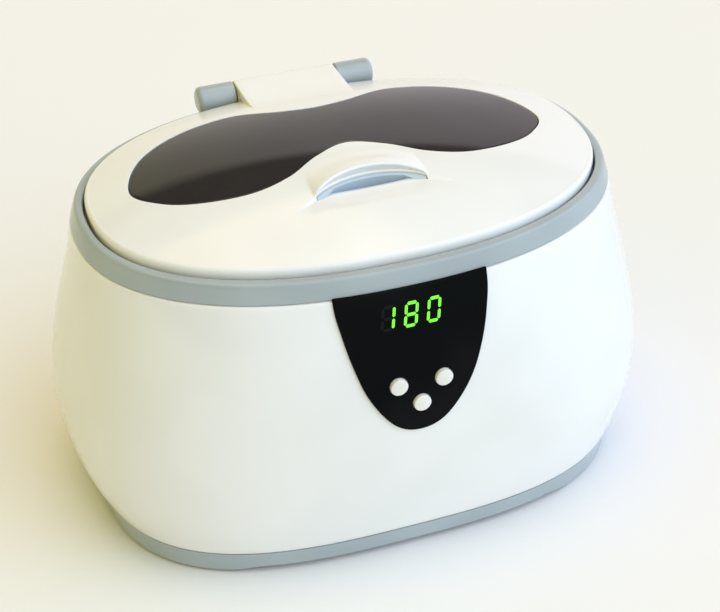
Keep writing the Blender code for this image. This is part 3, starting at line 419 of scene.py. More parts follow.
SMOKED = finish("smoked_window", rgb(0.030, 0.022, 0.022), rgb(0.038, 0.028, 0.028), 0.035, 0.02, relief=0.02,
                dust_amount=0.04, Transmission_Weight=0.55, IOR=1.49, Coat_Weight=0.1, Coat_Roughness=0.03)
print(len(bpy.data.materials), "finishes")

# %% [markdown]
# ## The housing wall
# The shell is a tall oval that swells at the waist. Its half length, half depth and squareness are read at
# each height from one smooth cubic through four measured levels, so no ring of facets shows. The wall goes up
# the outside, over a rounded lip and down the inside, and closes on itself like a tyre.

# %% Housing measures
ring_low, ring_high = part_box("top_bezel")
shell_low, shell_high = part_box("body_shell")
LEVEL_Z = np.array((9.4, 42.0, 74.4, 106.8)) * MM
LEVEL_A = np.array((95.4, 104.6, 100.1, 93.7)) * MM
LEVEL_B = np.array((67.0, 72.0, 72.4, 63.9)) * MM
LEVEL_N = np.array((2.85, 2.63, 2.44, 2.26))
WALL = 2.4 * MM


def level(values, z):
    """One measure of the housing at height z, on the cubic through its four levels."""
    return np.polyval(np.polyfit(LEVEL_Z, values, 3), z)


def housing_grid(inset, z):
    return oval_grid(level(LEVEL_A, z) - inset, level(LEVEL_B, z) - inset, level(LEVEL_N, z), z)


def housing_front(x, z):
    """How far the wall stands in front of the middle plane: b (1 - |x/a|^n)^(1/n)."""
    a, b, n = (level(values, z) for values in (LEVEL_A, LEVEL_B, LEVEL_N))
    return b * (1 - (np.abs(x) / a) ** n) ** (1 / n)


# %% Housing wall
lip = 0.5 * MM
low_z, high_z = shell_low.z, shell_high.z
outside = np.linspace(low_z + lip, high_z - lip, 64)
inside = np.linspace(high_z - lip, low_z + lip, 20)
turn = np.linspace(0, math.pi, 9)
over_inset = WALL / 2 * (1 - np.cos(turn))
wall_inset = np.concatenate([0 * outside, over_inset[1:-1], WALL + 0 * inside, over_inset[-2:0:-1]])
wall_z = np.concatenate([outside, high_z - lip + lip * np.sin(turn[1:-1]), inside,
                         low_z + lip - lip * np.sin(turn[1:-1])])
shell_wall = skin("shell_wall", housing_grid(wall_inset, wall_z), wrap_rows=True)

# %% [markdown]
# Openings are cut with simple tools: three round holes for the buttons, a window for the digits and a slot
# for the mains inlet. Every opening sits where its part sits in the frame, with a little air round it.

# %% Holes in the wall
BUTTONS = ("button_on", "button_off", "button_set")
button_place, button_front = {}, {}
for name in BUTTONS:
    low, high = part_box(name)
    button_place[name] = ((low.x + high.x) / 2, (low.z + high.z) / 2)
    button_front[name] = low.y
HOLE_R = 3.3 * MM
for x, z in button_place.values():
    cut(shell_wall, turned("hole", [(-80 * MM, HOLE_R), (-60 * MM, HOLE_R)], (x, 0, z), "y", 40))
led_low, led_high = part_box("led_display")
cut(shell_wall,
    block("hole", (led_low.x, -80 * MM, led_low.z), (led_high.x, led_low.y + 4 * MM, led_high.z), 0.5 * MM,
          "y"))
inlet_low, inlet_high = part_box("mains_inlet")
slot_gap = 0.3 * MM
cut(shell_wall, block("hole", (inlet_low.x - slot_gap, 50 * MM, inlet_low.z - slot_gap),
                      (inlet_high.x + slot_gap, 90 * MM, inlet_high.z + slot_gap), 1.2 * MM, "y"))
fit(shell_wall, WHITE, "housing", "white_shell", "body_shell")

# %% [markdown]
# ## The grey trim: ring and base
# The ring is a softly sloped band with a rounded top and a seat inside for the bath. Its section is a short
# path of (half length, half depth, height) with rounded corners, carried round the oval. The base repeats the
# idea, and a smooth weight lowers its rim at the four corners so the machine stands on them.

# %% Trim ring
RING_N = 2.26
ring_path = np.array([
    (93.7, 63.9, 106.8), (92.1, 62.9, 112.2), (91.5, 62.5, 113.4), (90.6, 61.4, 113.7), (89.2, 59.2, 113.5),
    (88.9, 58.8, 113.0), (88.9, 58.8, 107.5), (80.5, 50.5, 107.5), (80.5, 50.5, 105.0), (88.4, 58.4, 104.2),
    (88.8, 59.0, 102.5), (90.8, 61.0, 102.5), (90.8, 61.0, 106.8)]) * MM
ring_round = np.array([0.4, 1.6, 0.8, 0.7, 0.4, 0.4, 0.5, 0.5, 0.5, 0.5, 0.3, 0.3, 0.2]) * MM
ring_rows = softened(ring_path, ring_round, 6)
trim_ring = skin("trim_ring", oval_grid(ring_rows[:, 0], ring_rows[:, 1], RING_N, ring_rows[:, 2], 320),
                 wrap_rows=True)

# %% Hinge barrels on the ring
hinge = next(joint for joint in frame["joints"] if joint["name"] == "lid_hinge")
HINGE_Y, HINGE_Z = hinge["pos_m"][1], hinge["pos_m"][2]
HINGE_R, KNUCKLE_END = 5.0 * MM, 19.1 * MM
BARREL_IN, BARREL_OUT, BARREL_ROUND = 19.6 * MM, 33.4 * MM, 2.0 * MM
hinge_axis = (0.0, HINGE_Y, HINGE_Z)
groove_r = HINGE_R + 0.5 * MM
cut(trim_ring, turned("groove", [(-BARREL_IN, groove_r), (BARREL_IN, groove_r)], hinge_axis, "x", 64))
for side in (-1, 1):
    inner, outer = side * BARREL_IN, side * BARREL_OUT
    foot_low, foot_high = sorted((inner + side * 0.6 * MM, outer - side * 2.0 * MM))
    join(trim_ring,
         block("bracket", (foot_low, HINGE_Y - 3.0 * MM, 108 * MM),
               (foot_high, HINGE_Y + 3.6 * MM, HINGE_Z), 1 * MM))
    end = [(inner, HINGE_R - 0.3 * MM), (inner + side * 0.3 * MM, HINGE_R),
           (outer - side * BARREL_ROUND, HINGE_R)]
    turn = np.linspace(0, math.pi / 2, 9)[1:]
    end += [(outer - side * BARREL_ROUND * (1 - math.sin(t)),
             HINGE_R - BARREL_ROUND * (1 - math.cos(t))) for t in turn]
    end += [(outer + side * 0.05 * MM, 1.5 * MM), (outer + side * 0.08 * MM, 0.3 * MM)]
    join(trim_ring, turned("barrel", end, hinge_axis, "x", 64))
    bore = sorted((inner - side * 1.0 * MM, outer - side * 3.0 * MM))
    cut(trim_ring, turned("bore", [(x, 1.9 * MM) for x in bore], hinge_axis, "x", 32))
fit(trim_ring, GREY, "housing", "grey_trim", "top_bezel")

# %% Base with corner feet
def corner_weight(grid):
    """1 over the four corners and 0 along the straight runs, with short smooth ramps between."""
    ramp_x = np.clip((np.abs(grid[..., 0]) - 52 * MM) / (12 * MM), 0, 1)
    ramp_y = np.clip((np.abs(grid[..., 1]) - 16 * MM) / (10 * MM), 0, 1)
    return (ramp_x**2 * (3 - 2 * ramp_x)) * (ramp_y**2 * (3 - 2 * ramp_y))


base_low, base_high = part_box("base_plate")
CORNER_DROP = 1.5 * MM
base_a, base_b, base_n = (float(level(values, shell_low.z)) for values in (LEVEL_A, LEVEL_B, LEVEL_N))
# Each corner of the section: inset from the housing's outline, height, share of the corner drop.
base_path = np.array([
    (60.0, 2.0, 0.0), (11.0, 2.0, 0.0), (10.5, 2.0, 1.0), (1.9, 2.0, 1.0), (0.9, 3.0, 0.8), (0.2, 9.1, 0.0),
                      (2.9, 9.1, 0.0),
    (2.9, 13.0, 0.0), (5.0, 13.0, 0.0), (6.0, 4.4, 0.0), (60.0, 4.4, 0.0)]) * (MM, MM, 1.0)
base_rows = softened(base_path, np.array([0, 2, 1, 1.2, 0.8, 0.3, 0.3, 0.4, 0.4, 1.5, 0]) * MM, 6,
                     closed=False)
base_grid = oval_grid(base_a - base_rows[:, 0], base_b - base_rows[:, 0], base_n, base_rows[:, 1], 320)
base_grid[..., 2] -= CORNER_DROP * base_rows[:, 2:] * corner_weight(base_grid)
base_tray = skin("base_tray", base_grid)
for k in range(8):
    x = (7.0 * k - 24.5) * MM
    cut(base_tray, block("vent", (x - 1.25 * MM, -15 * MM, 0), (x + 1.25 * MM, 15 * MM, 8 * MM), 1.2 * MM))
screw_places = {}
for number in range(1, 5):
    low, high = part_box(f"base_screw_{number}")
    screw_places[f"base_screw_{number}"] = ((low.x + high.x) / 2, (low.y + high.y) / 2)
    x, y = screw_places[f"base_screw_{number}"]
    cut(base_tray, turned("recess", [(-2 * MM, 3.4 * MM), (9 * MM, 3.4 * MM)], (x, y, 0), "z", 36))
for number in range(1, 5):
    low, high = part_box(f"rubber_foot_{number}")
    radius = (high.x - low.x) / 2 + 0.3 * MM
    cut(base_tray, turned("pocket", [(-2 * MM, radius), (2 * MM, radius)],
                          ((low.x + high.x) / 2, (low.y + high.y) / 2, 0), "z", 40))
fit(base_tray, GREY, "housing", "grey_trim", "base_plate")

# %% [markdown]
# ## The lid
# The lid is one shallow dome over the same oval as the ring. Its mesh runs along rays from the window's
# outline out to the lid's edge, so both outlines are exact. Two more lines are followed on the way: the crest
# of the brow over the finger pocket and the lip at its foot. Rows laid on those lines keep the crest crisp
# while the rest stays smooth.

# %% Dome, brow and scoop
LID_A, LID_B, LID_LOW, LID_WALL = 88.2 * MM, 58.0 * MM, 110.6 * MM, 2.2 * MM
DOME_Z, DOME_RISE, DOME_POWER = 116.0 * MM, 11.0 * MM, 2.2
POCKET_HALF, LIP_TIP_Y, LIP_DEEP, LIP_POWER = 19.5 * MM, -28.4 * MM, 5.8 * MM, 0.85
FRONT_Y, FRONT_BEND, FRONT_DROP = -28.15 * MM, 12.5 * MM, 2.0 * MM
BROW_RISE, BROW_POWER, BROW_LENGTH, CREST_AHEAD, LEDGE = 3.6 * MM, 0.6, 13.0 * MM, 0.5 * MM, 0.3 * MM
SCOOP_DEPTH, SCOOP_AHEAD, TAIL_HALF, TAIL_SLOPE, FOLD = 1.6 * MM, 9.0 * MM, 29.0 * MM, 0.53, 1.5 * MM


def dome(x, y):
    """Rest height plus a rise that falls off as 1 - q^2.2, where q is 1 on the lid's oval edge."""
    q = ((np.abs(x) / LID_A) ** RING_N + (np.abs(y) / LID_B) ** RING_N) ** (1 / RING_N)
    return DOME_Z + DOME_RISE * (1 - np.minimum(q, 1.0) ** DOME_POWER)


def fade(t):
    """1 at 0 and 0 from 1 on, with level ends: (1 - t)^2 (1 + 2 t)."""
    t = np.clip(t, 0, 1)
    return (1 - t) ** 2 * (1 + 2 * t)


def across_pocket(x):
    return np.clip(1 - (x / POCKET_HALF) ** 2, 0, None)


def lip_line(x):
    """Rear edge of the pocket, tip + deep (1 - (x/half)^2)^0.85, then a straight fold past either tip."""
    tail = TAIL_SLOPE * np.clip(np.abs(x) - POCKET_HALF, 0, None)
    return LIP_TIP_Y + LIP_DEEP * across_pocket(x) ** LIP_POWER - tail


def front_line(x):
    """Front edge of the pocket: straight, bending forward over the last stretch to either end."""
    return FRONT_Y - FRONT_DROP * np.clip((np.abs(x) - FRONT_BEND) / (POCKET_HALF - FRONT_BEND), 0, 1)


def crest_line(x):
    """Top edge of the brow, a little ahead of the lip so that the brow's face overhangs."""
    return lip_line(x) - CREST_AHEAD * across_pocket(x)


def lid_height(x, y, behind):
    """The dome, less a scoop that falls off ahead of the pocket, plus the brow behind its crest."""
    drop_in = np.clip((lip_line(x) - y) / np.maximum(lip_line(x) - front_line(x), FOLD), 0, 1)
    ahead = (FRONT_Y - TAIL_SLOPE * np.clip(np.abs(x) - POCKET_HALF, 0, None) - y) / SCOOP_AHEAD
    scoop = SCOOP_DEPTH * np.clip(1 - (x / TAIL_HALF) ** 2, 0,
                                  None) ** 1.2 * drop_in**2 * (3 - 2 * drop_in) * fade(ahead)
    brow = BROW_RISE * across_pocket(x) ** BROW_POWER * fade((y - crest_line(x)) / BROW_LENGTH)
    return dome(x, y) - scoop + np.where(behind, brow, 0.0)


# %% Window outline and the rays through it
WINDOW_CENTRE = 13 * MM
half_outline = np.array([(13.0, 30.6), (30.0, 36.8), (50.0, 32.8), (66.0, 21.0), (73.5, 3.0), (66.0, -9.5),
                         (54.0, -16.5), (38.0, -19.3), (24.0, -15.8), (12.0, -7.8)]) * MM
window_points = np.vstack([[(0, 28.5 * MM)], half_outline, [(0, -3.0 * MM)], half_outline[::-1] * (-1, 1)])


def smooth_loop(points, steps):
    """A closed curve through the points: each span is a cubic that meets its neighbours smoothly."""
    p0, p1, p2, p3 = (np.roll(points, shift, axis=0)[:, None] for shift in (1, 0, -1, -2))
    t = np.linspace(0, 1, steps, endpoint=False)[None, :, None]
    curve = 0.5 * (2 * p1 + (p2 - p0) * t + (2 * p0 - 5 * p1 + 4 * p2 - p3) * t**2
                   + (3 * p1 - p0 - 3 * p2 + p3) * t**3)
    return curve.reshape(-1, 2)


def respaced(loop, count, density):
    """The loop read again at `count` points, closer together where the density is higher."""
    ahead = np.roll(loop, -1, axis=0)
    share = np.linalg.norm(ahead - loop, axis=1) * density((loop + ahead) / 2)
    along = np.concatenate([[0], np.cumsum(share)])
    wanted = np.linspace(0, along[-1], count, endpoint=False)
    closed = np.vstack([loop, loop[:1]])
    return np.stack([np.interp(wanted, along, closed[:, k]) for k in range(2)], axis=1)


def near_pocket(places):
    """Three times the usual density round the middle of the window's front edge."""
    return 1 + 2 * np.exp(-(places[:, 0] / (26 * MM)) ** 2) * (places[:, 1] < 0)


outline = respaced(smooth_loop(window_points, 60), 440, near_pocket)
ray = outline - (0, WINDOW_CENTRE)
window_reach = np.linalg.norm(ray, axis=1)
ray = ray / window_reach[:, None]


def reach_to(is_past):
    """Distance along every ray to where it passes a line, by halving."""
    near, far = window_reach * 0.5, np.full(len(ray), 0.2)
    for _ in range(45):
        middle = (near + far) / 2
        past = is_past(middle * ray[:, 0], WINDOW_CENTRE + middle * ray[:, 1])
        near, far = np.where(past, near, middle), np.where(past, middle, far)
    return near


def lid_reach(inset):
    a, b = LID_A - inset, LID_B - inset
    return reach_to(lambda x, y: (np.abs(x) / a) ** RING_N + (np.abs(y) / b) ** RING_N > 1)


off_middle = np.abs(np.arctan2(ray[:, 0], -ray[:, 1]))
TIP_ANGLE = math.atan2(TAIL_HALF, WINDOW_CENTRE - float(lip_line(TAIL_HALF)))
OPEN_ANGLE = TIP_ANGLE + math.radians(35)
edge_reach = lid_reach(0.0)


def guided(line):
    """The reach of a line across the pocket; further round, an even share of the way to the edge."""
    across = reach_to(lambda x, y: y < line(x))
    inner_share = (across - window_reach) / (edge_reach - window_reach)
    tip_share = np.interp(TIP_ANGLE, off_middle[np.argsort(off_middle)], inner_share[np.argsort(off_middle)])
    ease = fade((off_middle - TIP_ANGLE) / (OPEN_ANGLE - TIP_ANGLE))
    share = np.where(off_middle <= TIP_ANGLE, inner_share, 0.45 + (tip_share - 0.45) * ease)
    return window_reach + share * (edge_reach - window_reach)


crest_reach, lip_reach = guided(crest_line), guided(lip_line)
print("rays:", len(ray), "crest share", round(float(crest_reach.min()), 4))


# %% Lid shell
def ray_points(reach, behind, drop=0.0):
    """One row of lid points at a reach along every ray, on the lid's height."""
    x, y = reach * ray[:, 0], WINDOW_CENTRE + reach * ray[:, 1]
    return np.column_stack([x, y, lid_height(x, y, behind) - drop])


rows = []
for inward, drop in ((0.0, 0.45 * MM), (0.03 * MM, 0.2 * MM), (0.12 * MM, 0.06 * MM), (0.3 * MM, 0.0)):
    rows.append(ray_points(window_reach + inward, True, drop))
crest_round = 0.7 * MM
start_reach = window_reach + 0.3 * MM
stop_reach = crest_reach - crest_round
for share in np.linspace(0, 1, 30)[1:]:
    rows.append(ray_points(start_reach + share * (stop_reach - start_reach), True))
crest_scale = np.clip(across_pocket(crest_reach * ray[:, 0]) * BROW_RISE / (1.2 * MM), 0,
                      1) * (off_middle < TIP_ANGLE)
for turn in np.linspace(0, math.pi / 2, 7)[1:]:
    rows.append(ray_points(crest_reach - crest_round * (1 - math.sin(turn)), True,
                           crest_scale * crest_round * (1 - math.cos(turn))))
crest_row, foot_row = rows[-1], ray_points(lip_reach - LEDGE * crest_scale, False, -0.25 * MM * crest_scale)
rows += [crest_row + share * (foot_row - crest_row) for share in np.linspace(0, 1, 8)[1:]]
rows.append(ray_points(lip_reach, False))
rim_reach = lid_reach(1.4 * MM)
for share in np.linspace(0, 1, 56)[1:] ** 1.3:
    rows.append(ray_points(lip_reach + share * (rim_reach - lip_reach), False))
EDGE_Z = 114.6 * MM
rim_top = float(rows[-1][:, 2].mean())
for turn in np.linspace(0, math.pi / 2, 7)[1:]:
    reach = lid_reach(1.4 * MM * (1 - math.sin(turn)))
    row = ray_points(reach, False)
    row[:, 2] = EDGE_Z + (rim_top - EDGE_Z) * math.cos(turn)
    rows.append(row)
for inset, z in ((0.0, LID_LOW + 0.3 * MM), (0.2 * MM, LID_LOW), (2.4 * MM, LID_LOW),
                 (2.6 * MM, LID_LOW + 0.3 * MM)):
    reach = lid_reach(inset)
    row = ray_points(reach, False)
    row[:, 2] = z
    rows.append(row)
inner_reach = lid_reach(2.8 * MM)
for share in np.linspace(1, 0, 26):
    x, y = (window_reach + share * (inner_reach - window_reach)) * ray.T + np.array([[0], [WINDOW_CENTRE]])
    rows.append(np.column_stack([x, y, dome(x, y) - LID_WALL]))
lid_shell = skin("lid_dome", np.array(rows), wrap_rows=True, sharp=30, merge=1e-7)
print("lid dome:", len(lid_shell.data.polygons), "faces")

# %% Finger pocket
def pocket_plan(inset, rear=lip_line, steps=61):
    """The pocket from above, drawn in by an inset: each edge moves by inset sqrt(1 + slope^2)."""
    x = np.linspace(-POCKET_HALF, POCKET_HALF, 2401)
    back = rear(x) - inset * np.sqrt(1 + np.gradient(rear(x), x) ** 2)
    front = front_line(x) + inset * np.sqrt(1 + np.gradient(front_line(x), x) ** 2)
    open_x = x[(back > front + 0.05 * MM) & (np.abs(x) <= POCKET_HALF - inset)]
    even = np.linspace(open_x[0], open_x[-1], steps)
    return np.vstack([np.column_stack([even, np.interp(even, x, back)]),
                      np.column_stack([even, np.interp(even, x, front)])[::-1]])


opening = pocket_plan(0.2 * MM)
below = np.column_stack([opening, np.full(len(opening), 112 * MM)])
tool_rows = [below] + [np.column_stack([plan, dome(plan[:, 0], plan[:, 1]) + lift])
                       for plan, lift in ((opening, 0.1 * MM), (pocket_plan(1.2 * MM), 1.5 * MM))]
cut(lid_shell, skin("pocket", np.array(tool_rows)))

# %% Hinge flap and knuckle
turn = np.radians(np.linspace(90, -90, 25))
knuckle = np.column_stack([HINGE_Y + HINGE_R * np.cos(turn), HINGE_Z + HINGE_R * np.sin(turn)])
turn = np.radians(np.linspace(-100, -196, 12))
knuckle = np.vstack([knuckle,
                     np.column_stack([HINGE_Y + HINGE_R * np.cos(turn), HINGE_Z + HINGE_R * np.sin(turn)])])
FLAP_START, FLAP_FLAT, FLAP_Z = 36.0 * MM, 52.0 * MM, HINGE_Z + HINGE_R
flap_y = np.linspace(FLAP_START, 60 * MM, 14)
flap_rise = dome(0.0, FLAP_START) - 0.1 * MM - FLAP_Z
flap_top = np.column_stack([flap_y,
                            FLAP_Z + flap_rise * np.clip((FLAP_FLAT - flap_y) / (FLAP_FLAT - FLAP_START), 0,
                                                         1) ** 2])
flap_under = np.array([(56.0, 117.6), (50.0, 117.6), (44.0, 118.4), (36.0, 121.2)]) * MM
section = np.vstack([flap_top, knuckle, flap_under])


def flap_loop(x, inset):
    """The flap's section at x, drawn in along its own normals, its front sinking with the dome."""
    along = np.roll(section, -1, axis=0) - np.roll(section, 1, axis=0)
    normal = np.column_stack([along[:, 1], -along[:, 0]]) / np.linalg.norm(along, axis=1, keepdims=True)
    flat = section + inset * normal
    sink = (dome(x, FLAP_START) - dome(0.0,
                                       FLAP_START)) * fade((flat[:,
                                                                 0] - FLAP_START) / (FLAP_FLAT - FLAP_START))
    return np.column_stack([np.full(len(flat), x), flat[:, 0], flat[:, 1] + sink])


edge = 0.5 * MM
turns = np.linspace(0, math.pi / 2, 5)
sides = [(KNUCKLE_END - edge * (1 - math.sin(t)), edge * (1 - math.cos(t))) for t in turns]
across = [-x for x, _ in sides[::-1]] + list(np.linspace(-16, 16, 9) * MM) + [x for x, _ in sides]
insets = [inset for _, inset in sides[::-1]] + [0.0] * 9 + [inset for _, inset in sides]
flap_rows = [flap_loop(x, inset) for x, inset in zip(across, insets)]
join(lid_shell, skin("flap", np.array(flap_rows), sharp=30))
cut(lid_shell, turned("bore", [(-25 * MM, 1.9 * MM), (25 * MM, 1.9 * MM)], hinge_axis, "x", 32))
fit(lid_shell, WHITE, "lid", "white_shell", "lid_shell")

# %% [markdown]
# ## The finger grip insert
# A grey tray fills the pocket from below. Its rim follows the opening a hair inside it, while its rear wall
# has three facets: a bowed middle and a straight run to either end, so each catches the light differently.

# %% Grip insert
TRAY_BEND_X, TRAY_BEND_Y, TRAY_BOW, TRAY_END = 12.5 * MM, -24.9 * MM, 1.8 * MM, (19.4 * MM, -29.6 * MM)


def tray_line(x):
    """Rear wall of the tray: bend + bow (1 - (x/bend)^2) in the middle, straight beyond either bend."""
    middle = TRAY_BEND_Y + TRAY_BOW * np.clip(1 - (x / TRAY_BEND_X) ** 2, 0, None)
    share = np.clip((np.abs(x) - TRAY_BEND_X) / (TRAY_END[0] - TRAY_BEND_X), 0, None)
    return middle + share * (TRAY_END[1] - TRAY_BEND_Y)


def grip_loop(inset, sunk=None, z=None, rear=lip_line):
    """One level of the tray: the pocket's plan drawn in, sunk below the lid or at a fixed height."""
    plan = pocket_plan(inset, rear)
    height = lid_height(plan[:, 0], plan[:, 1], False) - sunk if z is None else np.full(len(plan), z)
    return np.column_stack([plan, height])


grip_rows = [grip_loop(1.2 * MM, z=116.2 * MM), grip_loop(0.6 * MM, z=116.2 * MM),
             grip_loop(0.55 * MM, 0.45 * MM),
             grip_loop(0.65 * MM, 0.35 * MM), grip_loop(0.95 * MM, 0.35 * MM, rear=tray_line),
             grip_loop(1.05 * MM, 0.5 * MM, rear=tray_line),
             grip_loop(1.15 * MM, z=118.6 * MM, rear=tray_line),
             grip_loop(1.5 * MM, z=118.0 * MM, rear=tray_line)]
grip_insert = skin("grip_insert", np.array(grip_rows), sharp=20)
fit(grip_insert, INSERT, "lid", "grey_trim", "lid_grip")

# %% [markdown]
# ## The smoked window
# The window is a single waisted sheet that follows the dome, set a hair below the white shell. Its edge is
# eased, and under the lid a grey frame clamps it with four screws.

# %% Window
def shrunk(inset, share=1.0):
    """The window outline moved in along its rays, then scaled towards its centre."""
    reach = (window_reach - inset) * share
    return np.column_stack([reach * ray[:, 0], WINDOW_CENTRE + reach * ray[:, 1]])


def on_dome(plan, drop):
    return np.column_stack([plan, dome(plan[:, 0], plan[:, 1]) - drop])


EDGE_GAP, SET_BACK, SHEET = 0.35 * MM, 0.15 * MM, 1.6 * MM
shares = np.linspace(0.04, 0.985, 26)
window_rows = [on_dome(shrunk(EDGE_GAP, share), SET_BACK) for share in shares]
for t in np.linspace(0, math.pi / 2, 5):
    window_rows.append(on_dome(shrunk(EDGE_GAP + 0.35 * MM * (1 - math.sin(t))),
                               SET_BACK + 0.35 * MM * (1 - math.cos(t))))
window_rows += [on_dome(shrunk(EDGE_GAP, share),
                        SET_BACK + SHEET) for share in np.concatenate([[1.0], shares[::-1]])]
window = skin("smoked_sheet", np.array(window_rows))
fit(window, SMOKED, "lid", "smoked_window", "lid_window")

# %% Window frame and its screws
frame_rows = softened(np.array([(3.0, 2.5), (-3.0, 2.5), (-3.0, 3.8), (-1.8, 4.2), (1.8, 4.2),
                                (3.0, 3.8)]) * MM, 0.3 * MM, 4)
window_frame = skin("window_frame", np.array([on_dome(shrunk(inset), drop) for inset, drop in frame_rows]),
                    wrap_rows=True)
for number in range(1, 5):
    low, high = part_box(f"retainer_screw_{number}")
    x, y, seat = (low.x + high.x) / 2, (low.y + high.y) / 2, low.z + 1.2 * MM + 0.3 * MM
    join(window_frame, turned("lug", [(seat, 1.3 * MM), (seat, 2.3 * MM), (seat + 0.3 * MM, 2.6 * MM),
                                      (seat + 1.3 * MM, 2.6 * MM), (seat + 1.3 * MM, 1.3 * MM)], (x, y, 0),
                              "z", 36, True))
fit(window_frame, GREY, "lid", "grey_trim", "window_retainer")


def cross_screw(name, node, head_r, head_h, shank_r):
    """A pan head with a cross recess, its head down, over the CAD screw's own box."""
    low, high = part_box(node)
    x, y = (low.x + high.x) / 2, (low.y + high.y) / 2
    profile = [(low.z, head_r * 0.62), (low.z + head_h * 0.12, head_r * 0.84),
               (low.z + head_h * 0.35, head_r * 0.96),
               (low.z + head_h * 0.6, head_r), (low.z + head_h, head_r), (low.z + head_h, shank_r),
               (high.z - shank_r, shank_r), (high.z, shank_r * 0.3)]
    piece = turned(name, profile, (x, y, 0), "z", 40)
    arm, slot_w, depth = head_r * 0.55, head_r * 0.13, head_h * 0.5
    for half_x, half_y in ((arm, slot_w), (slot_w, arm)):
        cut(piece,
            block("slot", (x - half_x, y - half_y, low.z - MM), (x + half_x, y + half_y, low.z + depth)))
    return piece


for number in range(1, 5):
    piece = cross_screw(f"frame_screw_{number}", f"retainer_screw_{number}", 2.0 * MM, 1.2 * MM, 0.8 * MM)
    fit(piece, STEEL, "lid", "stainless", f"retainer_screw_{number}")
    piece = cross_screw(f"floor_screw_{number}", f"base_screw_{number}", 2.8 * MM, 2.0 * MM, 1.4 * MM)
    fit(piece, STEEL, "housing", "stainless", f"base_screw_{number}")

# %% [markdown]
# ## The control panel
# The panel is a shield of glossy black plastic that lies on the housing's curve. Its outline is drawn in the
# upright plane and dropped onto the wall, ring by ring from the middle out, with a rolled edge.

# %% Panel
PANEL_CENTRE, PANEL_PROUD, PANEL_GAP = 88.0 * MM, 1.0 * MM, 0.3 * MM
panel_low, panel_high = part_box("control_panel")
right_side = np.array([(26.3, 107.4), (26.1, 103.0), (25.7, 100.0), (24.8, 95.5), (23.6, 90.0),
                       (22.1, 84.5), (19.6, 77.0),
                       (16.8, 71.0), (13.0, 65.0), (8.8, 60.2), (4.4, 57.6)]) * MM
tip = (0.0, 56.9 * MM)


def shield_outline():
    """A smooth curve down one side, round the tip and up the other, closed by the straight top."""
    above = np.array([(26.4, 111.0)]) * MM
    loop = np.vstack([above, right_side, [tip], right_side[::-1] * (-1, 1), above * (-1, 1)])
    steps = 24
    sides = smooth_loop(loop, steps)[steps: steps * (len(loop) - 2) + 1]
    along_top = np.linspace(sides[-1], sides[0], 60)[1:-1]
    even = respaced(np.vstack([sides, along_top]), 360, lambda places: np.ones(len(places)))
    return (np.roll(even, 1, axis=0) + 2 * even + np.roll(even, -1, axis=0)) / 4


shield = shield_outline()


def panel_row(inset, proud):
    """The shield drawn in by an inset, standing proud of the wall."""
    arm = shield - (0, PANEL_CENTRE)
    length = np.linalg.norm(arm, axis=1, keepdims=True)
    points = (0, PANEL_CENTRE) + arm * (1 - inset / length)
    x, z = points[:, 0], points[:, 1]
    return np.column_stack([x, -housing_front(x, z) - proud, z])


def panel_share(share, proud):
    points = np.array((0, PANEL_CENTRE)) + share * (shield - (0, PANEL_CENTRE))
    x, z = points[:, 0], points[:, 1]
    return np.column_stack([x, -housing_front(x, z) - proud, z])


roll = 0.45 * MM
panel_rows = [panel_share(share, PANEL_PROUD) for share in np.linspace(0.03, 0.96, 24)]
for t in np.linspace(0, math.pi / 2, 6):
    panel_rows.append(panel_row(roll * (1 - math.sin(t)), PANEL_PROUD - roll * (1 - math.cos(t))))
panel_rows += [panel_row(0.0, PANEL_GAP)] + [panel_share(share, PANEL_GAP) for share in np.linspace(0.96,
                                                                                                    0.03, 12)]
panel = skin("panel_plate", np.array(panel_rows))
for x, z in button_place.values():
    cut(panel, turned("hole", [(-80 * MM, HOLE_R), (-60 * MM, HOLE_R)], (x, 0, z), "y", 48))
fit(panel, PANEL, "housing", "panel_black", "control_panel")

# %% [markdown]
# ## Buttons
# Each button is a turned cap: a faintly domed face, a rounded rim, a collar that keeps it behind the wall and
# a stem that reaches its switch. It rides on its own body, so it sinks when pressed.

# %% Buttons
for name in BUTTONS:
    low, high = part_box(name)
    x, z = button_place[name]
    rim, collar_r, stem_r = 3.0 * MM, 3.6 * MM, 1.3 * MM
    collar = low.y + 2.3 * MM + WALL + 1.0 * MM
    cap = [(low.y + 0.25 * MM * (s**2), rim * 0.86 * s) for s in np.linspace(0.06, 1, 8)]
    edge_turn = np.linspace(0, math.pi / 2, 7)[1:]
    cap += [(low.y + 0.25 * MM + 0.45 * MM * (1 - math.cos(t)),
             rim * (0.86 + 0.14 * math.sin(t))) for t in edge_turn]
    cap += [(collar, rim), (collar, collar_r), (collar + MM, collar_r), (collar + MM, stem_r),
            (high.y, stem_r)]
    fit(turned(f"{name}_cap", cap, (x, 0, z), "y", 64), BUTTON, name, "button_white", name)

# %% [markdown]
# ## The digits
# Three seven-segment digits show through the panel as lit bars. Each bar is a long hexagon in the digit's own
# slanted grid, laid on the panel as a thin raised chip. Unlit bars stay as faint dark chips, as on the real
# thing.

# %% Lit and unlit bars
DIGIT_W, DIGIT_H, DIGIT_PITCH, SLANT, STROKE = 3.7 * MM, 6.9 * MM, 7.8 * MM, 0.20, 0.95 * MM
DIGIT_X, DIGIT_Z = -11.9 * MM, 95.7 * MM
SEGMENTS = {"a": ((0, 2), (1, 2)), "b": ((1, 1), (1, 2)), "c": ((1, 0), (1, 1)), "d": ((0, 0), (1, 0)),
            "e": ((0, 0), (0, 1)), "f": ((0, 1), (0, 2)), "g": ((0, 1), (1, 1))}
SHOWN = ("bc", "abcdefg", "abcdef")


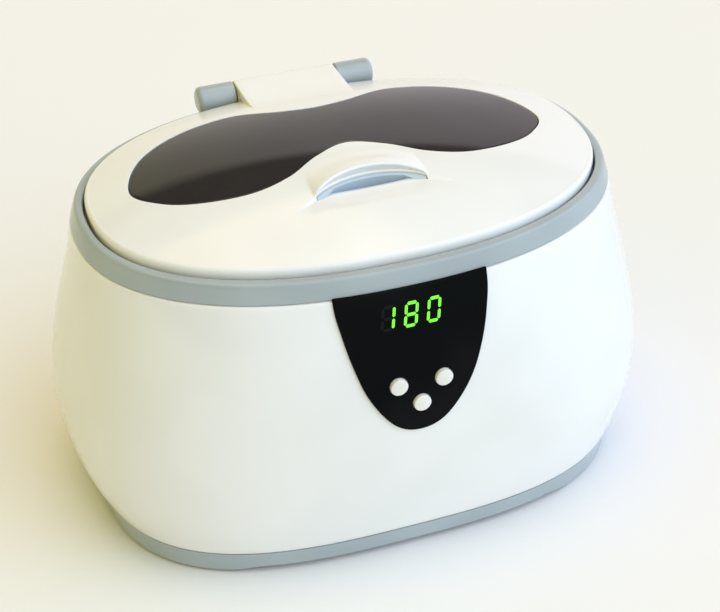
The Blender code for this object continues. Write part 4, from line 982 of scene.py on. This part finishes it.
def bar(start, stop):
    """A hexagonal chip between two grid corners, shortened by a small gap and laid on the panel."""
    p, q = (np.array((c[0] * DIGIT_W, c[1] * DIGIT_H / 2)) for c in (start, stop))
    along = (q - p) / np.linalg.norm(q - p)
    side = np.array((-along[1], along[0])) * STROKE / 2
    p, q = p + along * 0.22 * MM, q - along * 0.22 * MM
    shoulder = along * STROKE * 0.42
    return np.array([p, p + shoulder + side, q - shoulder + side, q, q - shoulder - side,
                     p + shoulder - side])


def chips(name, wanted, proud, material):
    """All bars of one kind in a single mesh."""
    points, faces = [], []
    for place, lit in enumerate(SHOWN):
        for key, (start, stop) in SEGMENTS.items():
            if (key in lit) != wanted or (not wanted and place > 0):
                continue
            plan = bar(start, stop)
            x = DIGIT_X + place * DIGIT_PITCH + plan[:, 0] + SLANT * plan[:, 1]
            z = DIGIT_Z + plan[:, 1]
            first = len(points) * 6
            for stand in (PANEL_PROUD - 0.1 * MM, PANEL_PROUD + proud):
                points.append(np.column_stack([x, -housing_front(x, z) - stand, z]))
            faces += [[first + k, first + (k + 1) % 6, first + 6 + (k + 1) % 6,
                       first + 6 + k] for k in range(6)]
            faces += [[first + k for k in range(5, -1, -1)], [first + 6 + k for k in range(6)]]
    mesh = bpy.data.meshes.new(name)
    mesh.from_pydata(np.vstack(points).tolist(), [], faces)
    work = bmesh.new()
    work.from_mesh(mesh)
    bmesh.ops.recalc_face_normals(work, faces=work.faces)
    work.to_mesh(mesh)
    work.free()
    piece = bpy.data.objects.new(name, mesh)
    bpy.context.scene.collection.objects.link(piece)
    fit(piece, material, "housing", "panel_black")
    return piece


LIT = bpy.data.materials.new("lit_segment")
LIT.use_nodes = True
tree = LIT.node_tree
shader = tree.nodes["Principled BSDF"]
glow = add(tree, "ShaderNodeTexNoise", Vector=add(tree, "ShaderNodeTexCoord").outputs["Object"],
           Scale=900.0).outputs["Fac"]
tree.links.new(blend(tree, glow, rgb(0.14, 0.92, 0.010), rgb(0.28, 1.0, 0.03)),
               shader.inputs["Emission Color"])
shader.inputs["Emission Strength"].default_value = 1.1
shader.inputs["Base Color"].default_value = rgb(0.02, 0.25, 0.01)
shader.inputs["Roughness"].default_value = 0.4
UNLIT = finish("unlit_segment", rgb(0.007, 0.009, 0.008), rgb(0.011, 0.013, 0.011), 0.25, relief=0.02,
               IOR=1.15)
chips("lit_digits", True, 0.06 * MM, LIT)
chips("unlit_digits", False, 0.03 * MM, UNLIT)

# %% [markdown]
# ## Feet, hinge pin and bath
# Four rubber pads carry the machine. The hinge pin is a plain steel rod with eased ends. The bath is one
# pressed sheet: a flat floor, a generous floor radius, straight walls and a flange that hangs in the ring.

# %% Rubber feet
for number in range(1, 5):
    low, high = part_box(f"rubber_foot_{number}")
    radius, x, y = (high.x - low.x) / 2, (low.x + high.x) / 2, (low.y + high.y) / 2
    profile = [(low.z, 0.4 * MM), (low.z, radius * 0.45), (low.z + 0.15 * MM, radius * 0.5),
               (low.z + 0.15 * MM, radius * 0.6),
               (low.z, radius * 0.65), (low.z, radius - 0.5 * MM), (low.z + 0.15 * MM, radius - 0.15 * MM),
               (low.z + 0.5 * MM, radius), (high.z, radius), (high.z, 0.4 * MM)]
    fit(turned(f"foot_pad_{number}", profile, (x, y, 0), "z", 48), RUBBER, "housing", "foot_rubber",
        f"rubber_foot_{number}")

# %% Hinge pin
low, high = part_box("hinge_pin")
pin_r = (high.z - low.z) / 2
ease = [(low.x, pin_r * 0.5), (low.x + 0.2 * MM, pin_r * 0.85), (low.x + 0.5 * MM, pin_r)]
profile = ease + [(-x, r) for x, r in ease[::-1]]
fit(turned("hinge_rod", profile, hinge_axis, "x", 40), STEEL, "housing", "stainless", "hinge_pin")

# %% Bath
tank_low, tank_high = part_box("tank")
tank_path = np.array([
    (0.5, 0.5, 54.0), (66.0, 36.0, 54.0), (74.0, 44.0, 55.0), (75.0, 45.0, 64.0), (79.0, 49.0, 105.5),
                      (80.2, 50.2, 109.1),
    (86.2, 56.0, 109.1), (86.2, 56.0, 109.9), (79.6, 49.6, 109.9), (78.2, 48.2, 105.5), (74.2, 44.2, 64.0),
    (73.2, 43.2, 55.8), (66.0, 36.0, 54.8), (0.5, 0.5, 54.8)]) * MM
tank_rows = softened(tank_path, np.array([0, 5, 7, 3, 1, 1, 0.3, 0.3, 1.2, 1, 3, 7, 5, 0]) * MM, 7,
                     closed=False)
tank_path_rows = oval_grid(tank_rows[:, 0], tank_rows[:, 1], RING_N, tank_rows[:, 2], 240)
fit(skin("pressed_bath", tank_path_rows), STEEL, "housing", "stainless", "tank")

# %% [markdown]
# ## The mains inlet
# At the back a two-pin socket sits in the wall: a soft-cornered black frame with a deep cavity, and two
# round-nosed brass pins inside it.

# %% Inlet and pins
socket = block("inlet_frame", inlet_low, inlet_high, 1.2 * MM, "y")
cavity_x, cavity_z = 7.6 * MM, 4.0 * MM
mid_x, mid_z = (inlet_low.x + inlet_high.x) / 2, (inlet_low.z + inlet_high.z) / 2
cut(socket, block("cavity", (mid_x - cavity_x, inlet_high.y - 13 * MM, mid_z - cavity_z),
                  (mid_x + cavity_x, inlet_high.y + 5 * MM, mid_z + cavity_z), 3.4 * MM, "y"))
for number in (1, 2):
    low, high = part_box(f"inlet_pin_{number}")
    pin_x, radius = (low.x + high.x) / 2, (high.x - low.x) / 2
    cut(socket,
        turned("hole",
               [(inlet_high.y - 20 * MM, radius + 0.3 * MM), (inlet_high.y - 10 * MM, radius + 0.3 * MM)],
                       (pin_x, 0, mid_z), "y", 28))
    nose = [(high.y - radius * (1 - math.sin(t)), radius * math.cos(t)) for t in np.linspace(0, 1.45, 7)]
    profile = [(low.y, radius * 0.8), (low.y + 0.2 * MM, radius)] + nose
    fit(turned(f"contact_pin_{number}", profile, (pin_x, 0, mid_z), "y", 36), BRASS, "housing", "brass",
        f"inlet_pin_{number}")
fit(socket, BLACK, "housing", "black_moulding", "mains_inlet")

# %% [markdown]
# ## What is inside
# The transducer, the boards and the wires keep their working shapes. Each still gets the finish of its own
# material slot, so a cutaway or an open lid shows believable parts.

# %% Finishes for the inner parts
BY_SLOT = {"white_shell": WHITE, "grey_trim": GREY, "smoked_window": SMOKED, "panel_black": PANEL,
           "button_white": BUTTON,
           "black_moulding": BLACK, "foot_rubber": RUBBER, "stainless": STEEL, "aluminium": ALUMINIUM,
           "brass": BRASS,
           "copper": COPPER, "ferrite": FERRITE, "piezo_ceramic": CERAMIC, "circuit_board": BOARD,
           "blue_plastic": BLUE,
           "yellow_plastic": YELLOW, "clear_glass": GLASS, "wire_insulation": WIRE}
kept = 0
for part in frame["record"]["subparts"]:
    node = frame["nodes"][part["node"]]
    if node.hide_render:
        continue
    for material_slot in node.material_slots:
        material_slot.material = BY_SLOT[part["material_slot"]]
    kept += 1
print(kept, "inner parts refinished")

# %% [markdown]
# ## Table and light
# The machine stands on a pale table that runs out of sight. Most of the light is a bright, soft room. A large
# cool window stands to the right, a warm wall to the left and a soft panel overhead, which give the gloss
# something to show.

# %% Table
bpy.ops.mesh.primitive_plane_add(size=6.0, location=(0, 0, cad_box[0][2]))
table = bpy.context.active_object
table.name = "table"
TABLE = finish("pale_table", rgb(0.865, 0.865, 0.86), rgb(0.885, 0.875, 0.87), 0.6, 0.05, wave_size=3.0,
               relief=0.02)
table.data.materials.append(TABLE)


# %% Lights
def softbox(name, place, aim, width, height, power, colour):
    """A rectangular light that faces its aim."""
    lamp = bpy.data.lights.new(name, "AREA")
    lamp.shape, lamp.size, lamp.size_y, lamp.energy, lamp.color = "RECTANGLE", width, height, power, colour
    holder = bpy.data.objects.new(name, lamp)
    direction = Vector(aim) - Vector(place)
    holder.matrix_world = Matrix.Translation(place) @ direction.to_track_quat("-Z", "Y").to_matrix().to_4x4()
    bpy.context.scene.collection.objects.link(holder)
    return holder


softbox("window_light", (1.15, -0.55, 0.75), (0, 0, 0.08), 0.9, 0.9, 0.9, (0.55, 0.75, 1.0))
softbox("overhead", (-0.1, 0.5, 1.6), (0, 0, 0.1), 1.2, 0.9, 5.5, (1.0, 0.71, 0.36))

# %% [markdown]
# The room itself is a world shader read by direction. Its three masks divide it into left and right, front
# and back, and near the horizon or high up. The front right is a bright cool window and the left is dim and
# warm. A darker patch high up behind the machine gives the window in the lid its dark front half.

# %% Room
room = bpy.data.worlds.new("room")
bpy.context.scene.world = room
room.use_nodes = True
tree = room.node_tree
towards = add(tree, "ShaderNodeSeparateXYZ",
              Vector=add(tree, "ShaderNodeTexCoord").outputs["Generated"]).outputs
to_right = spread(tree, towards["X"], -0.75, 0.55)
to_front = spread(tree, towards["Y"], 0.25, -0.45)
up_high = spread(tree, towards["Z"], 0.15, 0.65)
behind = blend(tree, to_right, rgb(0.568, 0.586, 0.03), rgb(0.962, 0.901, 0.946))
dark_patch = math_node(tree, "MULTIPLY", spread(tree, towards["Z"], 0.52, 0.57),
                       spread(tree, towards["Y"], 0.15, 0.35))
behind = blend(tree, dark_patch, behind, rgb(0.20, 0.20, 0.17))
low_front = blend(tree, to_right, rgb(0.04, 0.04, 0.03), rgb(1.073, 1.327, 1.344))
high_front = blend(tree, to_right, rgb(1.028, 0.733, 0.03), rgb(1.701, 2.105, 2.882))
ahead = blend(tree, up_high, low_front, high_front)
tree.links.new(blend(tree, to_front, behind, ahead), tree.nodes["Background"].inputs["Color"])
tree.nodes["Background"].inputs["Strength"].default_value = 1.0
bpy.context.scene.view_settings.view_transform = "Standard"
